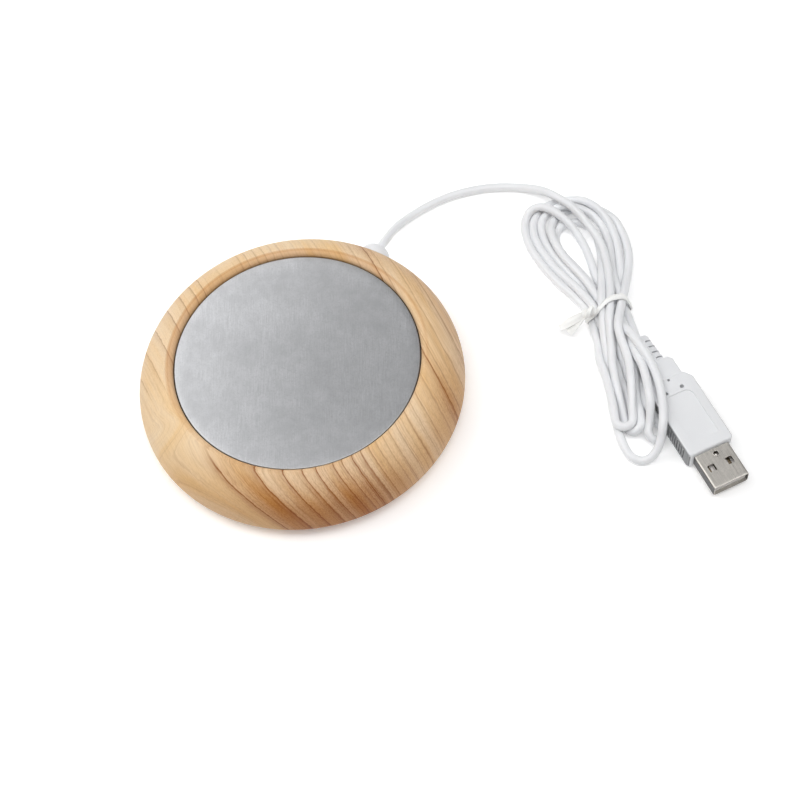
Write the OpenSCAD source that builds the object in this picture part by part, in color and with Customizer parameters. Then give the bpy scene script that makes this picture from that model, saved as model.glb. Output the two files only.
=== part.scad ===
// Electric mug warmer: a round wooden ring with a recessed metal heating
// plate, fed by a USB lead that is folded into a tied hank.
// Millimetres. Z up, the desk is z = 0, the lead leaves towards +Y.

/* [Wooden ring] */

// Largest diameter of the wooden ring
ring_d = 105; // [104:0.5:106]
// Height of the ring's crest above the desk
crest_z = 20.6; // [20.2:0.1:21]
// Height of the ring's widest line above the desk
belly_z = 5.7; // [5.4:0.1:6]
// Width of the round opening that shows the plate
opening_d = 78.6; // [78.2:0.1:79]

/* [Heating plate] */

// Diameter of the metal plate
plate_d = 77.6; // [77:0.1:77.8]
// Height of the plate's upper face above the desk
plate_z = 19.3; // [19.1:0.1:19.4]
// Thickness of the plate
plate_t = 1.2; // [1:0.1:1.3]

/* [Heater stack] */

// Diameter of the heating laminate under the plate
film_d = 70; // [66:1:71]
// Number of rings in the heater's resistance track
track_rings = 5; // [3:1:6]
// Width of the resistance track
track_w = 2; // [1.2:0.1:2.4]
// Thickness of the insulation pad
pad_t = 4.4; // [4:0.1:4.8]

/* [Fasteners and feet] */

// Diameter of a foot
foot_d = 10; // [8:0.5:12]
// Radius of the circle on which the feet lie
foot_r = 34; // [32:1:36]
// Number of feet
foot_n = 4; // [3:1:4]
// Diameter of the thread of the cover's screws
screw_d = 2.6; // [2.4:0.1:2.8]

/* [Lead] */

// Diameter of the lead
cord_d = 2.8; // [2.6:0.1:3]

/* [Plug] */

// Length of the steel shell that stands out of the plug's body
shell_out = 12.3; // [12:0.1:12.6]
// Width of the plug's body
body_w = 15.6; // [15:0.1:16]
// Thickness of the plug's body
body_t = 8; // [7.6:0.1:8]

/* [Hidden] */
$fn = 96;
eps = 0.01;

// ring
ring_r = ring_d / 2;
open_r = opening_d / 2;
ring_bot = 1.5;
bore_r = 45.6;
bore_top = 15;
top_rc = 33.7;
top_a = ring_r - top_rc;
top_b = 16.1;
low_rc = 47.6;
low_a = ring_r - low_rc;
low_b = belly_z - ring_bot;
lip_r = 1.3;
phi_end = acos((open_r + 2.1 - top_rc) / top_a);
crest_fix = crest_z - (belly_z + top_b * sin(phi_end));
function up(t) = crest_fix * t;

low_arc = [for (i = [0:6]) let (p = -90 + i * 15)
  [low_rc + low_a * cos(p), belly_z + low_b * sin(p)]];
top_arc = [for (i = [1:20]) let (t = i / 20, p = phi_end * t)
  [top_rc + top_a * cos(p), belly_z + top_b * sin(p) + up(t)]];
lip_arc = [for (i = [1:6]) let (p = 70 + i * 18)
  [open_r + lip_r + lip_r * cos(p), crest_z - lip_r - 0.05 + lip_r * sin(p)]];
ring_profile = concat(low_arc, top_arc, lip_arc,
  [[open_r, bore_top], [bore_r, bore_top], [bore_r, ring_bot]]);

// chassis
chassis_r = bore_r - 0.2;
wall_t = 2;
deck_top = bore_top - 0.1;
seat_r = open_r - 0.2;
seat_in = 36.4;
plate_bot = plate_z - plate_t;
post_r = 41;
post_n = 3;
post_a0 = 30;
cover_t = 2;
cover_top = ring_bot + cover_t;

// stack, from the plate downwards
film_t = 0.2;
z_film_a = plate_bot - film_t;
z_track = z_film_a - film_t;
z_film_b = z_track - film_t;
ret_t = 1;
z_ret = z_film_b - pad_t - ret_t;
deck_t = deck_top - z_ret - ret_t;
track_r0 = 10;
track_step = (film_d / 2 - 2 - track_r0) / (track_rings - 1);
tab_side = track_rings % 2 == 1 ? 1 : -1;
tab_a = [-(film_d / 2 - 4), 0];
tab_b = [-(film_d / 2 - 3.6), tab_side * 5.4];

// exit
exit_z = 6;
flange_y = 51;
dome_y = 52.3;
dome_r = 3.3;
dome_l = 3.6;
stub_y0 = 30;
stub_y1 = 51.5;

// route of the free lead, from inside the strain relief to the hank
cord_r = cord_d / 2;
lead_route = [
  [0, 51.5, 6], [0, 54.5, 6], [0, 57.5, 6], [0, 61, 5.2], [0, 64.5, 4.2], [0.2, 68, 3.1],
  [1, 72, 2.1], [2.5, 76, 1.5], [4.7, 80, 1.4], [7.5, 84.2, 1.4], [10.8, 88.2, 1.4],
  [14.6, 91.8, 1.4], [19, 95.2, 1.4], [23.5, 97.8, 1.4], [28.3, 100, 1.4],
  [31.8, 101.1, 1.6], [35.2, 101.5, 2.4], [39, 101.2, 3.8], [43.2, 100, 5.4],
  [46.4, 98.9, 6.2]];

// route from the hank to the plug
tail_route = [[84.1, 64.3, 4], [88.4, 60.8, 4], [92.77, 57.29, 4]];

// hank
tie_at = [79.4, 64.2];
tie_turn = 39.5;
lobe_a = [59.5, 85];
lobe_ar = 20;
lobe_b = [107, 27.5];
lobe_br = 8.6;
waist = [79.2, 63.8];
hank_h = 10.4;
tie_h = 9.2;
tie_w = 14;
tie_l = 2;
tie_t = 1;

// plug frame: X along the plug towards its tip, its belly on the desk
plug_at = [132.4, 25.4];
plug_turn = -39;
shell_z = 4;
body_f = -5.9;
body_b = -33.6;
neck_b = -40.8;
boot_b = -51;
shell_w = 12;
shell_h = 4.5;
shell_t = 0.3;

wood = [0.86, 0.68, 0.46];
metal = [0.74, 0.75, 0.77];
steel = [0.66, 0.67, 0.69];
white = [0.95, 0.95, 0.94];
black = [0.12, 0.12, 0.12];
amber = [0.85, 0.5, 0.15];

// ---- helpers ----

// a tube swept along a route: one ring of sides per point, square to the
// mean of the two neighbouring stretches
function unit(v) = v / norm(v);
function tangent(r, i) = let (n = len(r) - 1)
  unit(i == 0 ? r[1] - r[0] : i == n ? r[n] - r[n - 1]
    : unit(r[i] - r[i - 1]) + unit(r[i + 1] - r[i]));
function side(t) = unit(cross(t, [0, 0, 1]));
function ring_of(r, i, rad, n) = let (t = tangent(r, i), s = side(t), u = cross(s, t))
  [for (k = [0:n - 1]) let (a = (k + 0.5) * 360 / n)
    r[i] + rad * (s * cos(a) + u * sin(a))];

module sweep(r, rad, n) {
  m = len(r);
  pts = [for (i = [0:m - 1]) each ring_of(r, i, is_list(rad) ? rad[i] : rad, n)];
  walls = [for (i = [0:m - 2]) for (k = [0:n - 1]) let (j = (k + 1) % n)
    each [[i * n + k, (i + 1) * n + j, i * n + j],
          [i * n + k, (i + 1) * n + k, (i + 1) * n + j]]];
  first = [for (k = [0:n - 1]) k];
  last = [for (k = [n - 1:-1:0]) (m - 1) * n + k];
  polyhedron(points = pts, faces = concat(walls, [first, last]), convexity = 6);
}

// a straight rod between two points
module rod(p, q, r) let (d = q - p)
  translate(p) rotate([0, acos(d[2] / norm(d)), atan2(d[1], d[0])]) cylinder(r = r, h = norm(d), $fn = 24);

// a rectangle with round corners, centred
module rrect(l, w, r) {
  square([l - 2 * r, w], center = true);
  square([l, w - 2 * r], center = true);
  for (x = [-1, 1]) for (y = [-1, 1])
    translate([x * (l / 2 - r), y * (w / 2 - r)]) circle(r = r, $fn = 32);
}

// a disc with a round hole
module washer(ro, ri, h) {
  difference() {
    cylinder(r = ro, h = h);
    translate([0, 0, -1]) cylinder(r = ri, h = h + 2);
  }
}

module at_posts() for (i = [0:post_n - 1])
  rotate(post_a0 + i * 360 / post_n) translate([post_r, 0, 0]) children();

module at_feet() for (i = [0:foot_n - 1])
  rotate(45 + i * 360 / foot_n) translate([foot_r, 0, 0]) children();

module at_retainer_screws() for (i = [0:3])
  rotate(15 + i * 90) translate([37.8, 0, 0]) children();

module in_plug() translate([plug_at[0], plug_at[1], 0]) rotate(plug_turn) children();

module in_tie() translate([tie_at[0], tie_at[1], 0]) rotate(tie_turn) children();

// a pan-head screw standing head down, its head's face at z = 0
module screw(d, l, hd, hh) {
  difference() {
    union() {
      cylinder(r = hd / 2, h = hh, $fn = 48);
      cylinder(r = d / 2, h = l, $fn = 48);
    }
    for (a = [0, 90]) rotate(a) translate([-hd * 0.3, -0.25, -1])
      cube([hd * 0.6, 0.5, 1 + hh * 0.55]);
  }
}

// ---- the warmer ----

module wood_ring() color(wood)
  difference() {
    rotate_extrude($fn = 128) polygon(ring_profile);
    // port of the lead, with a flat seat for the strain relief
    translate([0, 40, exit_z]) rotate([-90, 0, 0]) cylinder(r = 3.2, h = 20, $fn = 48);
    translate([0, flange_y, exit_z]) rotate([-90, 0, 0]) cylinder(r = 5.5, h = 10, $fn = 64);
  }

module heat_plate() color(metal)
  translate([0, 0, plate_bot]) rotate_extrude() polygon([[0, 0], [plate_d / 2 - 0.3, 0],
    [plate_d / 2, 0.3], [plate_d / 2, plate_t - 0.25], [plate_d / 2 - 0.25, plate_t], [0, plate_t]]);

module gap_seal() color(black)
  translate([0, 0, plate_bot]) washer(open_r - 0.02, plate_d / 2 + 0.02, plate_t - 0.5);

module film_upper() color(amber)
  translate([0, 0, z_film_a]) cylinder(r = film_d / 2, h = film_t);

module heater_track() color([0.55, 0.45, 0.4])
  translate([0, 0, z_track]) {
    difference() {
      for (i = [0:track_rings - 1])
        washer(track_r0 + i * track_step, track_r0 + i * track_step - track_w, film_t);
      translate([-film_d, -4, -1]) cube([film_d, 8, film_t + 2]);
    }
    // bridges that join the open rings into one track, left and right in turn
    for (i = [0:track_rings - 2]) let (s = i % 2 == 0 ? 1 : -1)
      translate([-track_r0 - (i + 1) * track_step + 0.6, s > 0 ? 4 : -4 - track_w, 0])
        cube([track_step + track_w - 0.6, track_w, film_t]);
    // tab of the outer ring's free end
    translate([tab_b[0] - 1.2, tab_b[1] - 1.4, 0]) cube([2.4, 2.8, film_t]);
    // way out of the inner ring's free end
    translate([tab_a[0] - 1.2, -1, 0]) cube([-tab_a[0] - 6, 2, film_t]);
    translate([-9, -5, 0]) cube([2, 5, film_t]);
  }

module film_lower() color(amber)
  translate([0, 0, z_film_b]) difference() {
    cylinder(r = film_d / 2, h = film_t);
    for (p = [tab_a, tab_b]) translate([p[0], p[1], -1]) cylinder(r = 0.9, h = 3, $fn = 32);
  }

module insulation_pad() color([0.93, 0.92, 0.86])
  translate([0, 0, z_ret + ret_t]) difference() {
    cylinder(r = film_d / 2 + 0.5, h = pad_t);
    for (p = [tab_a, tab_b]) translate([p[0], p[1], -1]) cylinder(r = 1.2, h = pad_t + 2, $fn = 32);
  }

module retainer() color(metal)
  translate([0, 0, z_ret]) difference() {
    cylinder(r = 38.9, h = ret_t);
    for (p = [tab_a, tab_b]) translate([p[0], p[1], -1]) cylinder(r = 1.2, h = 4, $fn = 32);
    at_retainer_screws() translate([0, 0, -1]) cylinder(r = 1.05, h = 4, $fn = 32);
    at_posts() translate([0, 0, -1]) cylinder(r = 3.5, h = 4, $fn = 64);
  }

module retainer_screws() color(steel)
  at_retainer_screws() translate([0, 0, z_ret - 0.9]) screw(1.9, 4.2, 3.4, 0.9);

module chassis() color(white)
  difference() {
    union() {
      // wall
      translate([0, 0, cover_top]) washer(chassis_r, chassis_r - wall_t, deck_top - cover_top);
      // deck and plate seat
      translate([0, 0, deck_top - deck_t]) washer(chassis_r, seat_in, deck_t);
      translate([0, 0, deck_top - 1]) washer(seat_r, seat_in, plate_bot - deck_top + 1);
      // posts for the cover's screws
      at_posts() translate([0, 0, cover_top + 0.1]) cylinder(r = 3.2, h = deck_top - cover_top - 0.6, $fn = 64);
      // saddle of the lead's clamp
      translate([-6, 33.4, cover_top + 0.1]) cube([12, 4.2, exit_z - cord_r - cover_top - 0.15]);
      for (x = [-8, 4.8]) translate([x, 33, cover_top + 0.1]) cube([3.2, 11.4, exit_z - cover_top]);
    }
    at_posts() translate([0, 0, cover_top - 1]) cylinder(r = screw_d / 2 - 0.15, h = 9, $fn = 48);
    at_retainer_screws() translate([0, 0, z_ret]) cylinder(r = 0.85, h = 5, $fn = 32);
    // port of the lead
    translate([0, 40, exit_z]) rotate([-90, 0, 0]) cylinder(r = 3.2, h = 10, $fn = 48);
    // pilot holes of the clamp's screws
    for (x = [-6.4, 6.4]) translate([x, 35.5, cover_top + 0.8]) cylinder(r = 0.8, h = 8, $fn = 32);
  }

module thermal_fuse() color([0.8, 0.8, 0.78]) {
  translate([-4.5, -10, z_ret - 2.2]) rotate([0, 90, 0]) cylinder(r = 2, h = 9, $fn = 48);
  translate([-9, -10, z_ret - 2.2]) rotate([0, 90, 0]) cylinder(r = 0.5, h = 18, $fn = 24);
}

module fuse_clip() color(metal)
  difference() {
    union() {
      translate([-1.5, -12.7, z_ret - 4.8]) cube([3, 5.4, 4.8]);
      translate([-1.5, -15.5, z_ret - 0.6]) cube([3, 11, 0.6]);
    }
    translate([-2, -12.1, z_ret - 4.25]) cube([4, 4.2, 5]);
  }

wire_r = 0.6;

// supply wire from the lead to the crimp before the fuse
module wire_red() color([0.75, 0.1, 0.1])
  sweep([[-0.8, 30, 6], [-2, 26, 6], [-6, 20, 6], [-11, 12, 6.2], [-14, 4, 6.6],
    [-14.5, -3, 7.2], [-14, -8, 8], [-13, -10, 9.7]], wire_r, 8);

// return wire from the lead to the track's tab
module wire_black() color(black)
  sweep([[0.8, 30, 6], [-1, 24, 5], [-8, 18, 5], [-18, 12, 5.2], [-26, 6, 6],
    [-30, 5, 8], [tab_b[0] + 0.5, tab_b[1] - 0.4, 11.5], [tab_b[0], tab_b[1], z_track]], wire_r, 8);

// wire from the fuse to the track's other tab
module wire_link() color([0.75, 0.1, 0.1])
  sweep([[13, -10, 9.7], [14.5, -13, 8.4], [10, -18, 7.2], [0, -20.5, 6.6], [-12, -18, 6.6],
    [-22, -11, 7], [-28.5, -3, 8.4], [tab_a[0] + 0.6, tab_a[1] - 0.5, 11.5], [tab_a[0], tab_a[1], z_track]], wire_r, 8);

module crimp_sleeves() color(steel)
  for (s = [-1, 1]) translate([s > 0 ? 8.6 : -13, -10, z_ret - 2.2]) rotate([0, 90, 0])
    difference() {
      cylinder(r = 1.1, h = 4.4, $fn = 32);
      translate([0, 0, -1]) cylinder(r = 0.62, h = 7, $fn = 32);
    }

// the jacketed end of the lead inside the body
module cord_stub() color(white)
  translate([0, stub_y0, exit_z]) rotate([-90, 0, 0]) cylinder(r = cord_r, h = stub_y1 - stub_y0, $fn = 48);

module cord_clamp() color(white)
  difference() {
    translate([-8, 33.4, exit_z + 0.2]) cube([16, 4.2, 3]);
    translate([0, 30, exit_z]) rotate([-90, 0, 0]) cylinder(r = cord_r + 0.02, h = 12, $fn = 48);
    for (x = [-6.4, 6.4]) translate([x, 35.5, 0]) cylinder(r = 1, h = 12, $fn = 32);
  }

module clamp_screws() color(steel)
  for (x = [-6.4, 6.4]) translate([x, 35.5, exit_z + 4.1]) mirror([0, 0, 1]) screw(1.5, 5.2, 3, 0.9);

module grommet() color(white)
  translate([0, 0, exit_z]) rotate([-90, 0, 0]) rotate_extrude($fn = 96) polygon(concat(
    [[cord_r + 0.03, 41], [4.4, 41], [4.4, 43.1], [3.1, 43.1], [3.1, flange_y],
      [5.3, flange_y], [5.3, flange_y + 0.5], [5.22, flange_y + 0.8]],
    [for (i = [0:8]) let (a = i * 10) [cord_r + 0.35 + dome_r * pow(cos(a), 0.8), dome_y + dome_l * sin(a)]],
    [[cord_r + 0.35, dome_y + dome_l], [cord_r + 0.03, dome_y + dome_l - 0.2]]));

module base_cover() color(white)
  difference() {
    union() {
      translate([0, 0, ring_bot]) cylinder(r = chassis_r, h = cover_t);
      translate([0, 0, cover_top - 1]) washer(chassis_r - wall_t - 0.3, chassis_r - wall_t - 1.5, 2.2);
    }
    at_posts() cylinder(r = screw_d / 2 + 0.1, h = 6, $fn = 48);
    at_posts() cylinder(r = 2.9, h = ring_bot + 1, $fn = 64);
    at_feet() cylinder(r = foot_d / 2 + 0.2, h = ring_bot + 0.5, $fn = 64);
    // gaps in the lip for the posts and the lead's clamp
    at_posts() translate([-5, -4.5, cover_top - 0.1]) cube([10, 9, 3]);
    translate([-10, 28, cover_top - 0.1]) cube([20, 20, 3]);
  }

module cover_screws() color(steel)
  at_posts() translate([0, 0, ring_bot]) screw(screw_d, 8, 5.4, 1);

module feet() color([0.9, 0.9, 0.88])
  at_feet() rotate_extrude($fn = 64) polygon([[0, 0], [foot_d / 2 - 0.4, 0], [foot_d / 2, 0.4],
    [foot_d / 2, ring_bot + 0.5], [0, ring_bot + 0.5]]);

// ---- the lead and what is on it ----

module cord_lead() color(white) sweep(lead_route, cord_r, 8);

module cord_tail() color(white) sweep(tail_route, cord_r, 8);

module cord_hank() color(white)
  difference() {
    linear_extrude(height = hank_h) {
      hull() {
        translate(tie_at) circle(r = 7, $fn = 32);
        translate(lobe_a) circle(r = lobe_ar, $fn = 64);
      }
      hull() {
        translate(waist) circle(r = 6.6, $fn = 32);
        translate(lobe_b) circle(r = lobe_br, $fn = 48);
      }
    }
    // waist that the tie draws in
    in_tie() difference() {
      translate([-15, -tie_l / 2 - 0.3, -1]) cube([30, tie_l + 0.6, hank_h + 2]);
      translate([-tie_w / 2, -tie_l, tie_t]) cube([tie_w, 2 * tie_l, tie_h - tie_t]);
    }
  }

module twist_tie() color(white) {
  in_tie() difference() {
    translate([-tie_w / 2 - tie_t, -tie_l / 2, 0]) cube([tie_w + 2 * tie_t, tie_l, tie_h + tie_t]);
    translate([-tie_w / 2, -tie_l, tie_t]) cube([tie_w, 2 * tie_l, tie_h - tie_t]);
  }
  // knot and the two free ends, twisted out of the band's left side
  rod([74.1, 59.2, 8], [72.2, 57.4, 7.2], 1.6);
  rod([73, 58.4, 7.6], [67, 52, 3], 1);
  rod([73, 58.2, 7.2], [70.6, 52.6, 2.2], 1);
}

module plug_boot() color(white)
  in_plug() difference() {
    translate([boot_b, 0, shell_z]) rotate([90, 0, 90]) linear_extrude(height = neck_b - boot_b) rrect(7.6, 5.6, 2.4);
    for (i = [0:3]) translate([neck_b - 1.6 - i * 2.3, 0, shell_z])
      for (s = [-1, 1]) translate([-0.35, s * 4 - 2.6, -4]) cube([0.7, 5.2, 8]);
  }

module plug_body() color(white)
  in_plug() difference() {
    union() {
      translate([(body_f + body_b) / 2, 0, 0]) linear_extrude(height = body_t) rrect(body_f - body_b, body_w, 2.2);
      translate([(body_b + neck_b) / 2 + 1, 0, 0.4]) linear_extrude(height = body_t - 0.8) rrect(body_b - neck_b + 2, 11, 1.6);
    }
    // shallow panel on the face and dimples of the mould
    translate([-18.6, 0, body_t - 0.3]) linear_extrude(height = 1) rrect(17.2, 9.4, 2);
    for (p = [[-28.7, 2.7], [-28.4, -2.9]]) translate([p[0], p[1], body_t - 0.8]) cylinder(r = 0.55, h = 2, $fn = 24);
    translate([-32.4, 0, body_t - 1.2]) cylinder(r = 0.5, h = 2, $fn = 24);
    // pocket of the shell
    translate([body_f - 6, -shell_w / 2, shell_z - shell_h / 2]) cube([7, shell_w, shell_h]);
  }

module plug_shell() color(steel)
  in_plug() difference() {
    translate([body_f - 6, 0, shell_z]) rotate([90, 0, 90]) linear_extrude(height = shell_out + 6) rrect(shell_w - 0.02, shell_h - 0.02, 0.5);
    translate([body_f - 5.7, 0, shell_z]) rotate([90, 0, 90]) linear_extrude(height = shell_out + 8) rrect(shell_w - 2 * shell_t, shell_h - 2 * shell_t, 0.3);
    // the two windows of each face
    for (y = [-3, 3]) translate([-0.3 - 1.25, y - 1.15, -1]) cube([2.5, 2.3, 12]);
  }

module plug_tongue() color(white)
  in_plug() translate([body_f - 5.6, -(shell_w - 2 * shell_t - 0.1) / 2, shell_z - shell_h / 2 + shell_t + 0.02])
    cube([shell_out + 4.6, shell_w - 2 * shell_t - 0.1, 1.85]);

module plug_contacts() color([0.9, 0.75, 0.35])
  in_plug() for (y = [-3.5, -1, 1, 3.5])
    translate([body_f - 3, y - 0.5, shell_z - shell_h / 2 + shell_t + 1.87]) cube([shell_out + 1.4, 1, 0.2]);

wood_ring();
heat_plate();
gap_seal();
film_upper();
heater_track();
film_lower();
insulation_pad();
retainer();
retainer_screws();
chassis();
thermal_fuse();
fuse_clip();
wire_red();
wire_black();
wire_link();
crimp_sleeves();
cord_stub();
cord_clamp();
clamp_screws();
grommet();
base_cover();
cover_screws();
feet();
cord_lead();
cord_hank();
twist_tie();
cord_tail();
plug_boot();
plug_body();
plug_shell();
plug_tongue();
plug_contacts();
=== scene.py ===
import bpy
import bmesh
import math
import numpy as np
from mathutils import Vector, Matrix


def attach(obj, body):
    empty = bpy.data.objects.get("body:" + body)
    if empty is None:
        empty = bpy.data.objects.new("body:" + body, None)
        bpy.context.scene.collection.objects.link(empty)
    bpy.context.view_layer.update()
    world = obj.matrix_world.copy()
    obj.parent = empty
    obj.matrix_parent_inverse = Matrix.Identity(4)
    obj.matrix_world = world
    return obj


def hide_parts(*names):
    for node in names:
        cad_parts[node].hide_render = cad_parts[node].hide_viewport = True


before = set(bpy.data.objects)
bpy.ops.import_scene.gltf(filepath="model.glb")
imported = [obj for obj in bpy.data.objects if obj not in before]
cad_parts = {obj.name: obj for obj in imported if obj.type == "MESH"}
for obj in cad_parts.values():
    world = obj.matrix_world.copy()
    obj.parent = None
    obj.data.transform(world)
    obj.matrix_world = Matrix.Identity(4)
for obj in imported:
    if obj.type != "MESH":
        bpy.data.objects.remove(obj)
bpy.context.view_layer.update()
scene = bpy.context.scene
MM = 0.001

# ---------------------------------------------------------------- camera
CAM_AT = Vector((171.844, -207.292, 446.160)) * MM
CAM_TO = Vector((30.231, 9.115, 0.0)) * MM
CAM_ROLL = math.radians(-8.175)
cam_data = bpy.data.cameras.new("camera")
cam_data.sensor_fit = "HORIZONTAL"
cam_data.sensor_width = 36.0
cam_data.lens = 72.0
cam_data.clip_start = 0.01
cam_data.clip_end = 20.0
camera = bpy.data.objects.new("camera", cam_data)
scene.collection.objects.link(camera)
_f = (CAM_TO - CAM_AT).normalized()
_r = _f.cross(Vector((0, 0, 1))).normalized()
_u = _r.cross(_f)
_cx = _r * math.cos(CAM_ROLL) + _u * math.sin(CAM_ROLL)
_cy = -_r * math.sin(CAM_ROLL) + _u * math.cos(CAM_ROLL)
camera.matrix_world = Matrix((
    (_cx.x, _cy.x, -_f.x, CAM_AT.x),
    (_cx.y, _cy.y, -_f.y, CAM_AT.y),
    (_cx.z, _cy.z, -_f.z, CAM_AT.z),
    (0, 0, 0, 1)))
scene.camera = camera

# ---------------------------------------------------------------- mesh helpers
def new_mesh(name, verts, faces, smooth=True, body="root"):
    me = bpy.data.meshes.new(name)
    me.from_pydata([tuple(v) for v in verts], [], [tuple(f) for f in faces])
    me.validate(clean_customdata=False)
    me.update()
    ob = bpy.data.objects.new(name, me)
    scene.collection.objects.link(ob)
    bm = bmesh.new()
    bm.from_mesh(me)
    bmesh.ops.recalc_face_normals(bm, faces=bm.faces)
    bm.to_mesh(me)
    bm.free()
    if smooth:
        me.shade_smooth()
    return ob


def finish_piece(ob, mat, slot_name, *nodes):
    ob.data.materials.clear()
    ob.data.materials.append(mat)
    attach(ob, "root")
    if nodes:
        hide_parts(*nodes)
    return ob


def apply_mods(ob):
    dg = bpy.context.evaluated_depsgraph_get()
    me = bpy.data.meshes.new_from_object(ob.evaluated_get(dg), preserve_all_data_layers=True, depsgraph=dg)
    ob.modifiers.clear()
    old = ob.data
    ob.data = me
    bpy.data.meshes.remove(old)
    return ob


def smooth_by_angle(ob, deg=35):
    me = ob.data
    me.shade_smooth()
    me.set_sharp_from_angle(angle=math.radians(deg))
    return ob


def spline(points, step):
    """A smooth curve through the points (centripetal Catmull-Rom), sampled about every step."""
    p = np.asarray(points, float)
    p = np.vstack([2 * p[0] - p[1], p, 2 * p[-1] - p[-2]])
    out = []
    for i in range(1, len(p) - 2):
        p0, p1, p2, p3 = p[i - 1], p[i], p[i + 1], p[i + 2]
        t0 = 0.0
        t1 = t0 + max(np.linalg.norm(p1 - p0), 1e-9) ** 0.5
        t2 = t1 + max(np.linalg.norm(p2 - p1), 1e-9) ** 0.5
        t3 = t2 + max(np.linalg.norm(p3 - p2), 1e-9) ** 0.5
        n = max(2, int(math.ceil(np.linalg.norm(p2 - p1) / step)))
        for k in range(n):
            t = t1 + (t2 - t1) * k / n
            a1 = (t1 - t) / (t1 - t0) * p0 + (t - t0) / (t1 - t0) * p1
            a2 = (t2 - t) / (t2 - t1) * p1 + (t - t1) / (t2 - t1) * p2
            a3 = (t3 - t) / (t3 - t2) * p2 + (t - t2) / (t3 - t2) * p3
            b1 = (t2 - t) / (t2 - t0) * a1 + (t - t0) / (t2 - t0) * a2
            b2 = (t3 - t) / (t3 - t1) * a2 + (t - t1) / (t3 - t1) * a3
            out.append((t2 - t) / (t2 - t1) * b1 + (t - t1) / (t2 - t1) * b2)
    out.append(p[-2])
    return np.array(out)


def frames_along(path, up=(0, 0, 1)):
    """Unit side and up vectors that turn as little as they can along the path."""
    p = np.asarray(path, float)
    t = np.gradient(p, axis=0)
    t /= np.linalg.norm(t, axis=1)[:, None]
    s = np.cross(t[0], up)
    if np.linalg.norm(s) < 1e-6:
        s = np.cross(t[0], (1, 0, 0))
    s /= np.linalg.norm(s)
    side = [s]
    for i in range(1, len(p)):
        s = side[-1] - t[i] * np.dot(side[-1], t[i])
        side.append(s / np.linalg.norm(s))
    side = np.array(side)
    return t, side, np.cross(side, t)


def sweep(name, path, section, closed=False, caps=True, scale=None, twist=None, up=(0, 0, 1)):
    """A tube of any section, a list of (across, up) points, along a path of points. mm."""
    path = np.asarray(path, float)
    t, s, u = frames_along(path, up)
    n, m = len(path), len(section)
    verts, faces = [], []
    for i in range(n):
        k = 1.0 if scale is None else scale[i]
        a = 0.0 if twist is None else twist[i]
        c, d = math.cos(a), math.sin(a)
        for (x, y) in section:
            x, y = x * c - y * d, x * d + y * c
            verts.append((path[i] + (s[i] * x + u[i] * y) * k) * MM)
    for i in range(n - 1):
        for j in range(m):
            q = (j + 1) % m
            faces.append((i * m + j, i * m + q, (i + 1) * m + q, (i + 1) * m + j))
    if closed:
        for j in range(m):
            q = (j + 1) % m
            faces.append(((n - 1) * m + j, (n - 1) * m + q, q, j))
    elif caps:
        faces.append(tuple(range(m - 1, -1, -1)))
        faces.append(tuple((n - 1) * m + j for j in range(m)))
    return new_mesh(name, verts, faces)


def circle_section(r, n=20):
    return [(r * math.cos(2 * math.pi * k / n), r * math.sin(2 * math.pi * k / n)) for k in range(n)]


def lathe(name, profile, n=192, closed=True):
    """A solid of revolution about Z. profile is a list of (r, z), mm; a closed one comes back to its start."""
    verts, faces, rows = [], [], []
    for (r, z) in profile:
        if r < 1e-6:
            rows.append([len(verts)])
            verts.append((0, 0, z * MM))
        else:
            rows.append(list(range(len(verts), len(verts) + n)))
            verts += [(r * math.cos(2 * math.pi * k / n) * MM, r * math.sin(2 * math.pi * k / n) * MM, z * MM) for k in range(n)]
    m = len(profile)
    for i in range(m if closed else m - 1):
        a, b = rows[i], rows[(i + 1) % m]
        if len(a) == 1 and len(b) == 1:
            continue
        for k in range(n):
            q = (k + 1) % n
            if len(a) == 1:
                faces.append((a[0], b[q], b[k]))
            elif len(b) == 1:
                faces.append((a[k], a[q], b[0]))
            else:
                faces.append((a[k], a[q], b[q], b[k]))
    return new_mesh(name, verts, faces)


def cut(ob, tool, op="DIFFERENCE"):
    mod = ob.modifiers.new("cut", "BOOLEAN")
    mod.operation = op
    mod.solver = "EXACT"
    mod.object = tool
    apply_mods(ob)
    bpy.data.objects.remove(tool, do_unlink=True)
    return ob


def join(name, obs):
    bm = bmesh.new()
    for o in obs:
        bm.from_mesh(o.data)
    me = bpy.data.meshes.new(name)
    bm.to_mesh(me)
    bm.free()
    for o in obs:
        d = o.data
        bpy.data.objects.remove(o, do_unlink=True)
        bpy.data.meshes.remove(d)
    ob = bpy.data.objects.new(name, me)
    scene.collection.objects.link(ob)
    me.shade_smooth()
    return ob


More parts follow.
